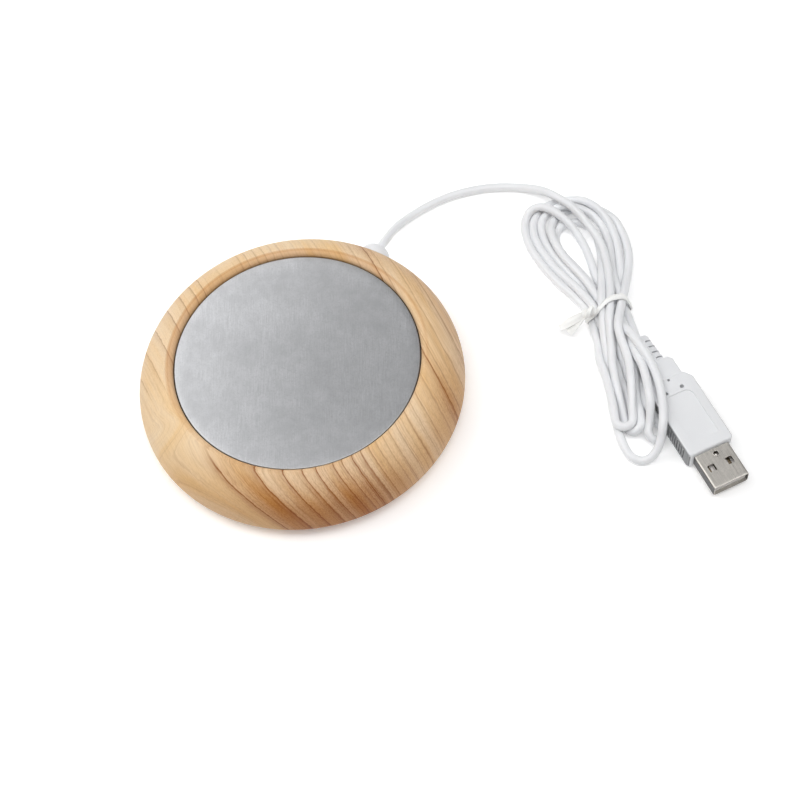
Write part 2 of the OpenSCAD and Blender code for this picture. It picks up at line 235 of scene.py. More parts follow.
# ---------------------------------------------------------------- material helpers
class Mat:
    """A small wrapper that keeps node trees short to write. Coordinates are the part's own, in mm."""

    def __init__(self, name):
        self.m = bpy.data.materials.new(name)
        self.m.use_nodes = True
        self.t = self.m.node_tree
        self.t.nodes.clear()
        self.out = self.t.nodes.new("ShaderNodeOutputMaterial")
        self.b = self.t.nodes.new("ShaderNodeBsdfPrincipled")
        self.t.links.new(self.b.outputs[0], self.out.inputs[0])
        tc = self.t.nodes.new("ShaderNodeTexCoord")
        self.p = self.vscale(tc.outputs["Object"], (1000, 1000, 1000))

    def link(self, a, b):
        self.t.links.new(a, b)

    def set(self, **kw):
        names = dict(base="Base Color", rough="Roughness", metal="Metallic", ior="IOR", spec="Specular IOR Level",
                     coat="Coat Weight", coat_rough="Coat Roughness", sheen="Sheen Weight", sss="Subsurface Weight",
                     sss_scale="Subsurface Scale", sss_radius="Subsurface Radius", aniso="Anisotropic",
                     aniso_rot="Anisotropic Rotation", normal="Normal", tangent="Tangent", alpha="Alpha",
                     trans="Transmission Weight")
        for k, v in kw.items():
            s = self.b.inputs[names[k]]
            if hasattr(v, "is_linked") or isinstance(v, bpy.types.NodeSocket):
                self.link(v, s)
            else:
                s.default_value = (*v, 1.0) if isinstance(v, tuple) and len(v) == 3 and s.type == "RGBA" else v
        return self

    def put(self, v, s):
        if isinstance(v, bpy.types.NodeSocket):
            self.link(v, s)
        else:
            s.default_value = v

    def vscale(self, v, k):
        n = self.t.nodes.new("ShaderNodeVectorMath")
        n.operation = "MULTIPLY"
        self.put(v, n.inputs[0])
        n.inputs[1].default_value = k
        return n.outputs[0]

    def vop(self, op, a, b=None):
        n = self.t.nodes.new("ShaderNodeVectorMath")
        n.operation = op
        self.put(a, n.inputs[0])
        if b is not None:
            self.put(b, n.inputs[1])
        return n.outputs["Value"] if op in ("DOT_PRODUCT", "LENGTH", "DISTANCE") else n.outputs[0]

    def math(self, op, a, b=0.0, c=0.0, clamp=False):
        n = self.t.nodes.new("ShaderNodeMath")
        n.operation = op
        n.use_clamp = clamp
        for v, s in ((a, n.inputs[0]), (b, n.inputs[1]), (c, n.inputs[2])):
            self.put(v, s)
        return n.outputs[0]

    def xyz(self, x, y, z):
        n = self.t.nodes.new("ShaderNodeCombineXYZ")
        for v, s in ((x, n.inputs[0]), (y, n.inputs[1]), (z, n.inputs[2])):
            self.put(v, s)
        return n.outputs[0]

    def sep(self, v):
        n = self.t.nodes.new("ShaderNodeSeparateXYZ")
        self.link(v, n.inputs[0])
        return n.outputs

    def noise(self, v, scale=1.0, detail=2.0, rough=0.5, dim="3D", w=None, dist=0.0, lac=2.0):
        n = self.t.nodes.new("ShaderNodeTexNoise")
        n.noise_dimensions = dim
        if v is not None and dim != "1D":
            self.link(v, n.inputs["Vector"])
        if w is not None:
            self.put(w, n.inputs["W"])
        n.inputs["Scale"].default_value = scale
        n.inputs["Detail"].default_value = detail
        n.inputs["Roughness"].default_value = rough
        n.inputs["Distortion"].default_value = dist
        n.inputs["Lacunarity"].default_value = lac
        return n.outputs[0]

    def white(self, w):
        n = self.t.nodes.new("ShaderNodeTexWhiteNoise")
        n.noise_dimensions = "1D"
        self.put(w, n.inputs["W"])
        return n.outputs["Value"]

    def voronoi(self, v, scale, feature="F1", out="Distance", rand=1.0):
        n = self.t.nodes.new("ShaderNodeTexVoronoi")
        n.feature = feature
        self.link(v, n.inputs["Vector"])
        n.inputs["Scale"].default_value = scale
        n.inputs["Randomness"].default_value = rand
        return n.outputs[out]

    def ramp(self, v, stops, interp="LINEAR"):
        n = self.t.nodes.new("ShaderNodeValToRGB")
        n.color_ramp.interpolation = interp
        e = n.color_ramp.elements
        while len(e) > 1:
            e.remove(e[-1])
        for i, (p, c) in enumerate(stops):
            el = e[0] if i == 0 else e.new(p)
            el.position = p
            el.color = (c, c, c, 1) if not isinstance(c, tuple) else (*c, 1)
        self.link(v, n.inputs[0])
        return n.outputs[0]

    def curve(self, v, pts, lo, hi):
        """v through a curve of (v, result) points, both scaled to 0..1 by lo and hi = (v range, result range)."""
        n = self.t.nodes.new("ShaderNodeFloatCurve")
        c = n.mapping.curves[0]
        while len(c.points) > 2:
            c.points.remove(c.points[1])
        sx, sy = 1 / (hi[0] - lo[0]), 1 / (hi[1] - lo[1])
        q = [((x - lo[0]) * sx, (y - lo[1]) * sy) for x, y in pts]
        c.points[0].location, c.points[1].location = q[0], q[-1]
        for x, y in q[1:-1]:
            c.points.new(x, y)
        for pt in c.points:
            pt.handle_type = "VECTOR"
        n.mapping.update()
        self.link(self.math("MULTIPLY", self.math("SUBTRACT", v, lo[0]), sx), n.inputs["Value"])
        return self.math("ADD", self.math("MULTIPLY", n.outputs[0], hi[1] - lo[1]), lo[1])

    def mix(self, f, a, b, kind="MIX"):
        n = self.t.nodes.new("ShaderNodeMix")
        n.data_type = "RGBA"
        n.blend_type = kind
        n.clamp_factor = True
        self.put(f, n.inputs[0])
        for v, s in ((a, n.inputs[6]), (b, n.inputs[7])):
            if isinstance(v, bpy.types.NodeSocket):
                self.link(v, s)
            else:
                s.default_value = (*v, 1)
        return n.outputs[2]

    def remap(self, v, a, b, c, d, clamp=True, kind="LINEAR"):
        n = self.t.nodes.new("ShaderNodeMapRange")
        n.clamp = clamp
        n.interpolation_type = kind
        self.link(v, n.inputs[0])
        for i, x in enumerate((a, b, c, d)):
            self.put(x, n.inputs[i + 1])
        return n.outputs[0]

    def bump(self, h, dist_mm, strength=1.0, normal=None):
        n = self.t.nodes.new("ShaderNodeBump")
        n.inputs["Strength"].default_value = strength
        n.inputs["Distance"].default_value = dist_mm * MM
        self.link(h, n.inputs["Height"])
        if normal is not None:
            self.link(normal, n.inputs["Normal"])
        return n.outputs[0]


def srgb(r, g, b):
    def f(c):
        c /= 255
        return c / 12.92 if c <= 0.04045 else ((c + 0.055) / 1.055) ** 2.4
    return (f(r), f(g), f(b))


def wood_material():
    """Turned softwood: growth rings round a pith line, pale early wood that darkens to a sharp brown late-wood line."""
    m = Mat("pine_satin")
    az, ti = math.radians(-37.2), math.radians(-11.0)
    g = Vector((math.cos(az) * math.cos(ti), math.sin(az) * math.cos(ti), math.sin(ti)))
    h = Vector((math.sin(az), -math.cos(az), 0))
    v = g.cross(h)
    v = v if v.z > 0 else -v
    # coordinates across, up and along the grain
    a = m.vop("DOT_PRODUCT", m.p, tuple(h))
    b = m.vop("DOT_PRODUCT", m.p, tuple(v))
    c = m.vop("DOT_PRODUCT", m.p, tuple(g))
    local = m.xyz(a, b, c)
    slow = m.vscale(local, (0.035, 0.035, 0.011))
    wob = m.math("SUBTRACT", m.noise(slow, 1.0, 2.0, 0.5), 0.5)
    fine = m.math("SUBTRACT", m.noise(m.vscale(local, (0.8, 0.8, 0.09)), 1.0, 3.0, 0.65), 0.5)
    db = m.math("SUBTRACT", b, 7.4)
    # past the middle of the piece the heart runs down and out, and its rings stand upright
    heart = m.math("MULTIPLY", m.remap(c, 8.0, -8.0, 0.0, 0.88, kind="SMOOTHSTEP"), m.remap(a, 3.0, 14.0, 0.0, 1.0, kind="SMOOTHSTEP"))
    db = m.math("MULTIPLY", db, m.math("SUBTRACT", 1.0, heart))
    da = m.math("SUBTRACT", a, m.math("ADD", m.math("MULTIPLY", heart, 12.0), 40.8))
    q = m.vop("LENGTH", m.xyz(da, db, 0.0))
    q = m.math("ADD", q, m.math("MULTIPLY", wob, WOOD["wob"]))
    q = m.math("ADD", q, m.math("MULTIPLY", fine, 0.75))
    rings = WOOD["rings"]
    k = m.curve(q, [(x, i) for i, x in enumerate(rings)], (0, 0), (rings[-1], len(rings) - 1))
    ph = m.math("FRACT", k)
    idx = m.math("FLOOR", k)
    power = m.white(m.math("ADD", idx, 0.37))
    # 0..1 across one year's growth: slow darkening, then the sharp late-wood line
    band = m.ramp(ph, [(0.0, 0.10), (0.10, 0.0), (0.45, 0.05), (0.78, 0.16), (0.90, 0.30), (1.0, 0.45)])
    gaps = [y - x for x, y in zip(rings, rings[1:])]
    wide = m.curve(k, [(i + 0.5, x) for i, x in enumerate(gaps)], (0, 0), (len(rings) - 1, 7))
    line = m.math("MAXIMUM", m.remap(m.math("MULTIPLY", m.math("SUBTRACT", 1.0, ph), wide), 0.10, 0.50, 1.0, 0.0), m.remap(m.math("MULTIPLY", ph, wide), 0.0, 0.14, 1.0, 0.0))
    band = m.math("MAXIMUM", band, line)
    strength = m.curve(k, WOOD["strength"], (0, 0), (len(rings) - 1, 1))
    # the grain is bold on one side of the piece and fades to thin faint lines on the other
    rho = m.vop("LENGTH", m.vscale(m.p, (1, 1, 0)))
    outer = m.remap(rho, 41.0, 51.0, 0.0, 1.0, kind="SMOOTHSTEP")
    bold = m.math("MAXIMUM", m.remap(c, -2.0, 22.0, 0.0, 1.0, kind="SMOOTHSTEP"), m.remap(q, 68.0, 76.0, 0.0, 0.85, kind="SMOOTHSTEP"))
    far = m.remap(m.math("ABSOLUTE", m.math("SUBTRACT", c, -1.0)), 9.0, 21.0, 1.0, 0.0, kind="SMOOTHSTEP")
    gap = m.math("SUBTRACT", 1.0, m.math("MULTIPLY", far, m.remap(a, 3.0, 12.0, 0.0, 1.0)))
    band = m.math("MULTIPLY", m.math("MULTIPLY", band, strength), m.math("MULTIPLY", m.math("ADD", m.math("MULTIPLY", bold, 0.58), m.math("ADD", m.math("MULTIPLY", heart, 0.22), 0.34)), gap))
    band = m.math("MULTIPLY", band, m.math("MAXIMUM", heart, m.remap(q, 10.0, 15.5, 0.08, 1.0)))
    streak = m.noise(m.xyz(m.math("MULTIPLY", q, 1.9), 0.0, m.math("MULTIPLY", c, 0.035)), 1.0, 3.0, 0.65)
    # broad brown clouds that follow the grain, and short fibres
    tone = m.noise(m.xyz(m.math("MULTIPLY", q, 0.16), 0.0, m.math("MULTIPLY", c, 0.018)), 1.0, 3.0, 0.55)
    fibre = m.noise(m.vscale(local, (2.6, 2.6, 0.08)), 1.0, 4.0, 0.72)
    pores = m.noise(m.vscale(local, (14.0, 14.0, 0.5)), 1.0, 2.0, 0.5)
    base = m.mix(m.remap(tone, 0.42, 0.72, 0.0, 1.0), WOOD["pale"], WOOD["warm"])
    broad = m.curve(q, WOOD["broad"], (0, 0), (rings[-1], 1))
    broad = m.math("MULTIPLY", m.math("MULTIPLY", broad, bold), m.math("ADD", m.math("MULTIPLY", outer, 0.68), 0.34))
    # painted shade mask: the outer lower flank on the bold side
    shade = m.math("MULTIPLY", m.remap(rho, 46.5, 52.0, 0.0, 1.0, kind="SMOOTHSTEP"), m.remap(c, 2.0, 34.0, 0.0, 1.0))
    shade = m.math("MULTIPLY", shade, m.remap(q, 50.0, 70.0, 1.0, 0.45))
    base = m.mix(m.math("MULTIPLY", broad, m.remap(tone, 0.30, 0.70, 0.45, 1.0), clamp=True), base, WOOD["brown"])
    # painted shade on the machined inner edge: a darker line along its crest and a darker inner slope, each strongest
    # on one side of the ring
    painted_crest_shade = m.math("MULTIPLY", m.remap(rho, 40.7, 41.25, 0.0, 1.0), m.remap(rho, 42.0, 41.4, 0.0, 1.0))
    painted_inner_shade = m.math("MULTIPLY", m.remap(rho, 41.3, 40.9, 0.0, 1.0), m.remap(m.vop("DOT_PRODUCT", m.p, (-0.94, 0.34, 0)), -12.0, 24.0, 0.06, 0.44))
    base = m.mix(m.math("ADD", m.math("MULTIPLY", painted_crest_shade, m.remap(m.vop("DOT_PRODUCT", m.p, (-0.6, 0.8, 0)), -20.0, 10.0, 0.04, 0.42)), painted_inner_shade, clamp=True), base, WOOD["brown"])
    col = m.mix(band, base, WOOD["line"])
    deep = m.math("ADD", m.math("MULTIPLY", broad, 0.40), 0.17)
    col = m.mix(m.math("MULTIPLY", m.remap(fibre, 0.38, 0.72, 0.0, 1.0), deep), col, WOOD["line"])
    col = m.mix(m.math("MULTIPLY", m.remap(streak, 0.51, 0.64, 0.0, 1.0), m.math("ADD", m.math("MULTIPLY", broad, 0.50, clamp=True), 0.12)), col, WOOD["line"])
    col = m.mix(m.remap(pores, 0.56, 0.80, 0.0, 0.22), col, WOOD["line"])
    # painted shade: the outer lower flank on the bold side is painted darker and browner all over
    col = m.vop("MULTIPLY", col, m.xyz(m.remap(shade, 0.0, 1.0, 1.0, 0.80), m.remap(shade, 0.0, 1.0, 1.0, 0.70), m.remap(shade, 0.0, 1.0, 1.0, 0.60)))
    hgt = m.math("ADD", m.math("MULTIPLY", fibre, 0.6), m.math("MULTIPLY", band, -0.5))
    m.set(base=col, rough=m.remap(fibre, 0.3, 0.8, 0.48, 0.62), spec=0.26, coat=0.03, coat_rough=0.35,
          normal=m.bump(hgt, 0.05, 0.5))
    return m.m


def brushed_metal(name, base, direction, rough=0.34, mottled=True, painted_flank_shade=None, painted_reflection=False):
    """Metal with fine parallel scratches along a direction in the plane z = constant."""
    m = Mat(name)
    a = math.radians(direction)
    g, h = (math.cos(a), math.sin(a), 0), (-math.sin(a), math.cos(a), 0)
    u = m.vop("DOT_PRODUCT", m.p, g)
    w = m.vop("DOT_PRODUCT", m.p, h)
    z = m.sep(m.p)[2]
    line = m.noise(m.xyz(m.math("MULTIPLY", u, 0.16), m.math("MULTIPLY", w, 4.2), m.math("MULTIPLY", z, 3.0)), 1.0, 3.0, 0.6)
    short = m.noise(m.xyz(m.math("MULTIPLY", u, 0.7), m.math("MULTIPLY", w, 9.0), m.math("MULTIPLY", z, 3.0)), 1.0, 3.0, 0.65)
    cloud = m.noise(m.vscale(m.p, (0.055, 0.055, 0.055)), 1.0, 4.0, 0.62)
    blot = m.noise(m.vscale(m.p, (0.30, 0.30, 0.30)), 1.0, 4.0, 0.6)
    speck = m.noise(m.vscale(m.p, (1.6, 1.6, 1.6)), 1.0, 3.0, 0.6)
    col = m.mix(m.remap(line, 0.35, 0.65, 0.0, 1.0), tuple(x * 0.82 for x in base), tuple(min(1.0, x * 1.12) for x in base))
    col = m.mix(m.remap(short, 0.35, 0.65, 0.0, 0.65), col, tuple(x * 0.80 for x in base))
    if mottled:
        col = m.mix(m.remap(cloud, 0.40, 0.64, 0.0, 0.75), col, tuple(x * 0.78 for x in base))
        col = m.mix(m.remap(blot, 0.42, 0.68, 0.0, 0.28), col, tuple(min(1.0, x * 1.14) for x in base))
        col = m.mix(m.remap(speck, 0.48, 0.72, 0.0, 0.55), col, tuple(x * 0.72 for x in base))
    if painted_reflection:
        # painted reflection: the face is painted duller in the middle and on one side, and brighter towards the rim
        r2 = m.math("POWER", m.vop("LENGTH", m.vscale(m.p, (1 / 33.0, 1 / 33.0, 0))), 2.0)
        f = m.math("ADD", m.math("ADD", m.math("MULTIPLY", r2, 0.10), 0.80), m.math("MULTIPLY", m.vop("DOT_PRODUCT", m.p, (-0.996, 0.087, 0)), 0.15 / 33.0))
        col = m.vop("MULTIPLY", col, m.xyz(f, f, f))
    if painted_flank_shade:
        # painted shade: the folded sides of the sheet are painted near black, standing in for the shade and dark
        # reflections on them
        g_ = m.t.nodes.new("ShaderNodeNewGeometry")
        side = m.math("ABSOLUTE", m.vop("DOT_PRODUCT", g_.outputs["True Normal"], h))
        col = m.mix(m.remap(side, 0.75, 0.97, 0.0, 1.0), col, painted_flank_shade)
    r = m.math("ADD", m.remap(line, 0.3, 0.7, rough - 0.06, rough + 0.06), m.remap(cloud, 0.3, 0.7, -0.03, 0.05))
    m.set(base=col, metal=1.0, rough=r, normal=m.bump(m.math("ADD", line, m.math("MULTIPLY", short, 0.6)), 0.012, 0.55))
    return m.m


def plastic(name, base, rough=0.36, grain=0.5, tint=0.04, bump_mm=0.012, sss=0.0, spec=0.5, sheen=0.0, painted_grip_shade=None):
    """Moulded plastic or rubber: a faint cloudiness, a fine moulded grain and small scuffs."""
    m = Mat(name)
    cloud = m.noise(m.vscale(m.p, (0.12, 0.12, 0.12)), 1.0, 3.0, 0.55)
    fine = m.noise(m.vscale(m.p, (grain * 9, grain * 9, grain * 9)), 1.0, 2.0, 0.55)
    scuff = m.noise(m.vscale(m.p, (0.7, 0.25, 0.5)), 1.0, 4.0, 0.7)
    dark = tuple(x * (1 - tint) for x in base)
    col = m.mix(m.remap(cloud, 0.35, 0.7, 0.0, 1.0), base, dark)
    if painted_grip_shade:
        # painted shade: the ridged flanks of the plug and the hollows between their ridges are painted a dark grey,
        # standing in for the shade on them
        g_ = m.t.nodes.new("ShaderNodeNewGeometry")
        ca, sa = math.cos(math.radians(-39)), math.sin(math.radians(-39))
        side = m.math("ABSOLUTE", m.vop("DOT_PRODUCT", g_.outputs["True Normal"], (-sa, ca, 0)))
        off = m.math("ABSOLUTE", m.vop("DOT_PRODUCT", m.vop("SUBTRACT", m.p, (132.4, 25.4, 0)), (-sa, ca, 0)))
        painted_flank_shade = m.math("MULTIPLY", m.remap(side, 0.55, 0.95, 0.0, 1.0), m.remap(off, 7.05, 7.2, 0.0, 1.0))
        painted_inner_shade = m.math("MULTIPLY", m.remap(off, 7.1, 7.2, 0.0, 1.0), m.remap(off, 7.62, 7.52, 0.0, 1.0))
        z = m.sep(m.p)[2]
        painted_inner_shade = m.math("MULTIPLY", painted_inner_shade, m.math("MULTIPLY", m.remap(z, 0.8, 0.95, 0.0, 1.0), m.remap(z, 6.85, 6.7, 0.0, 1.0)))
        col = m.mix(m.math("MAXIMUM", painted_flank_shade, painted_inner_shade), col, painted_grip_shade)
    r = m.math("ADD", m.remap(scuff, 0.45, 0.75, rough - 0.03, rough + 0.08), m.remap(fine, 0.3, 0.7, -0.02, 0.02))
    m.set(base=col, rough=r, spec=spec, normal=m.bump(fine, bump_mm, 0.5))
    if sss:
        m.set(sss=sss, sss_scale=0.0012, sss_radius=(1.0, 0.95, 0.9))
    if sheen:
        m.set(sheen=sheen)
    return m.m


def plain_metal(name, base, rough=0.3, bumpy=0.004, wear=0.12):
    m = Mat(name)
    cloud = m.noise(m.vscale(m.p, (0.35, 0.35, 0.35)), 1.0, 3.0, 0.6)
    fine = m.noise(m.vscale(m.p, (7, 7, 7)), 1.0, 2.0, 0.6)
    col = m.mix(m.remap(cloud, 0.3, 0.7, 0.0, 1.0), base, tuple(x * (1 - wear) for x in base))
    m.set(base=col, metal=1.0, rough=m.remap(fine, 0.3, 0.7, rough - 0.05, rough + 0.07), normal=m.bump(fine, bumpy, 0.5))
    return m.m

LIGHT = dict(
    floor_glow=0.21, world=1.0, sky_az=118, sky=(0.03, 0.10), wall=0.36,
    areas=[
        dict(name="key", azimuth=-20, elevation=74, dist=0.9, size=0.5, power=2.65),
        dict(name="left", azimuth=196, elevation=48, dist=0.9, size=0.5, power=2.7),
        dict(name="near", azimuth=250, elevation=74, dist=0.9, size=0.5, power=1.85),
        dict(name="right", azimuth=30, elevation=48, dist=0.9, size=0.5, power=1.2),
        dict(name="back", azimuth=145, elevation=48, dist=0.9, size=0.5, power=0.95),
        dict(name="top", azimuth=70, elevation=74, dist=0.9, size=0.5, power=0.5),
    ])
BAND_S = [-7.5, -6.2, -3.8, -1.0, 1.3, 4.6, 6.3, 7.5]
BAND_T = [-1.0, -0.7, -0.5, 0.9, 1.6, 1.4, 0.3, -1.0]
KNOT_A, KNOT_B = (76.2, 60.8, 8.9), (73.0, 57.9, 7.2)
TAIL_A = [(74.2, 58.9, 7.9), (72.2, 57.1, 7.0), (69.9, 55.0, 5.6), (67.4, 52.6, 3.6)]
TAIL_B = [(74.0, 58.6, 7.4), (72.9, 57.1, 6.4), (71.8, 55.1, 4.9), (70.5, 52.6, 2.9)]
# ---------------------------------------------------------------- the materials
WOOD = dict(
    pale=srgb(240, 214, 177), warm=srgb(236, 199, 145), brown=srgb(186, 122, 52), line=srgb(136, 72, 14), wob=0.0,
    # radii of the year rings round the pith, mm, and how dark each late-wood line is
    rings=[0, 2.0, 5.2, 10.4, 16.2, 22.6, 28.0, 32.4, 35.6, 40.2, 42.6, 45.6, 48.4, 50.9, 53.4, 55.8, 58.0, 60.7, 62.8, 64.6, 67.4, 70.2, 74.2, 78.4, 80.2, 84.5, 88.9, 91.2, 96],
    strength=[(0, 0.5), (1, 0.55), (2, 0.9), (3, 0.9), (4, 1.0), (5, 1.0), (6, 1.0), (7, 0.9), (8, 1.0), (9, 0.9), (10, 0.75), (11, 1.0), (12, 0.8),
              (13, 0.6), (14, 0.45), (15, 0.35), (16, 0.45), (17, 0.3), (18, 0.3), (19, 0.5), (20, 0.35), (21, 0.45), (22, 0.4), (23, 0.95), (24, 0.5), (25, 0.4), (26, 0.6), (27, 0.4), (28, 0.4)],
    broad=[(0, 0.1), (14, 0.12), (17, 0.75), (22, 1.0), (24, 0.75), (28, 0.85), (34, 0.95), (40, 1.0), (46, 0.95), (49, 0.6), (53, 0.42), (58, 0.32), (64, 0.28), (70, 0.30), (75, 0.45), (78, 0.75), (80, 0.45), (84, 0.28), (90, 0.40), (96, 0.4)],
)
MAT = {
    "pine_satin": wood_material(),
    # the plate's face carries a painted reflection: darker in the middle and on one side, brighter at the rim
    "plate_brushed": brushed_metal("plate_brushed", (0.60, 0.606, 0.622), -62, rough=0.36, painted_reflection=True),
    "seal_black": plastic("seal_black", (0.030, 0.022, 0.016), rough=0.6, tint=0.3),
    "film_amber": plastic("film_amber", srgb(196, 118, 38), rough=0.22, tint=0.15),
    "track_alloy": brushed_metal("track_alloy", (0.46, 0.40, 0.34), 20, rough=0.32, mottled=False),
    "pad_fibre": plastic("pad_fibre", srgb(226, 222, 205), rough=0.9, grain=0.2, tint=0.18, bump_mm=0.12),
    "retainer_alu": brushed_metal("retainer_alu", (0.66, 0.66, 0.67), 80, rough=0.38, mottled=False),
    "screw_steel": plain_metal("screw_steel", (0.50, 0.50, 0.51), rough=0.28),
    "fuse_steel": plain_metal("fuse_steel", (0.66, 0.64, 0.58), rough=0.24),
    "wire_red": plastic("wire_red", srgb(178, 32, 28), rough=0.42, tint=0.12),
    "wire_black": plastic("wire_black", srgb(28, 28, 30), rough=0.42, tint=0.2),
    "chassis_white": plastic("chassis_white", srgb(226, 226, 222), rough=0.48, tint=0.05, bump_mm=0.02),
    "base_white": plastic("base_white", srgb(232, 231, 227), rough=0.52, grain=0.35, tint=0.05, bump_mm=0.03),
    "foot_rubber": plastic("foot_rubber", srgb(206, 205, 200), rough=0.72, tint=0.10, bump_mm=0.02),
    "cord_pvc": plastic("cord_pvc", srgb(231, 232, 234), rough=0.34, tint=0.025, bump_mm=0.012, sss=0.15),
    # the plug's flanks are painted dark grey as painted shade
    "plug_pvc": plastic("plug_pvc", srgb(225, 226, 228), rough=0.36, tint=0.02, bump_mm=0.012, sss=0.12, painted_grip_shade=(0.195, 0.20, 0.205)),
    "tie_white": plastic("tie_white", srgb(243, 243, 241), rough=0.30, tint=0.03, bump_mm=0.02, sss=0.1),
    # the shell's folded sides are painted near black as painted shade
    "plug_steel": brushed_metal("plug_steel", (0.66, 0.63, 0.586), -39, rough=0.34, mottled=True, painted_flank_shade=(0.07, 0.07, 0.07)),
    "tongue_white": plastic("tongue_white", srgb(238, 233, 229), rough=0.45, tint=0.10),
    # the contacts' dark brass colour includes painted shade for the shade inside the shell's windows
    "contact_gold": plain_metal("contact_gold", (0.26, 0.21, 0.14), rough=0.35),
}

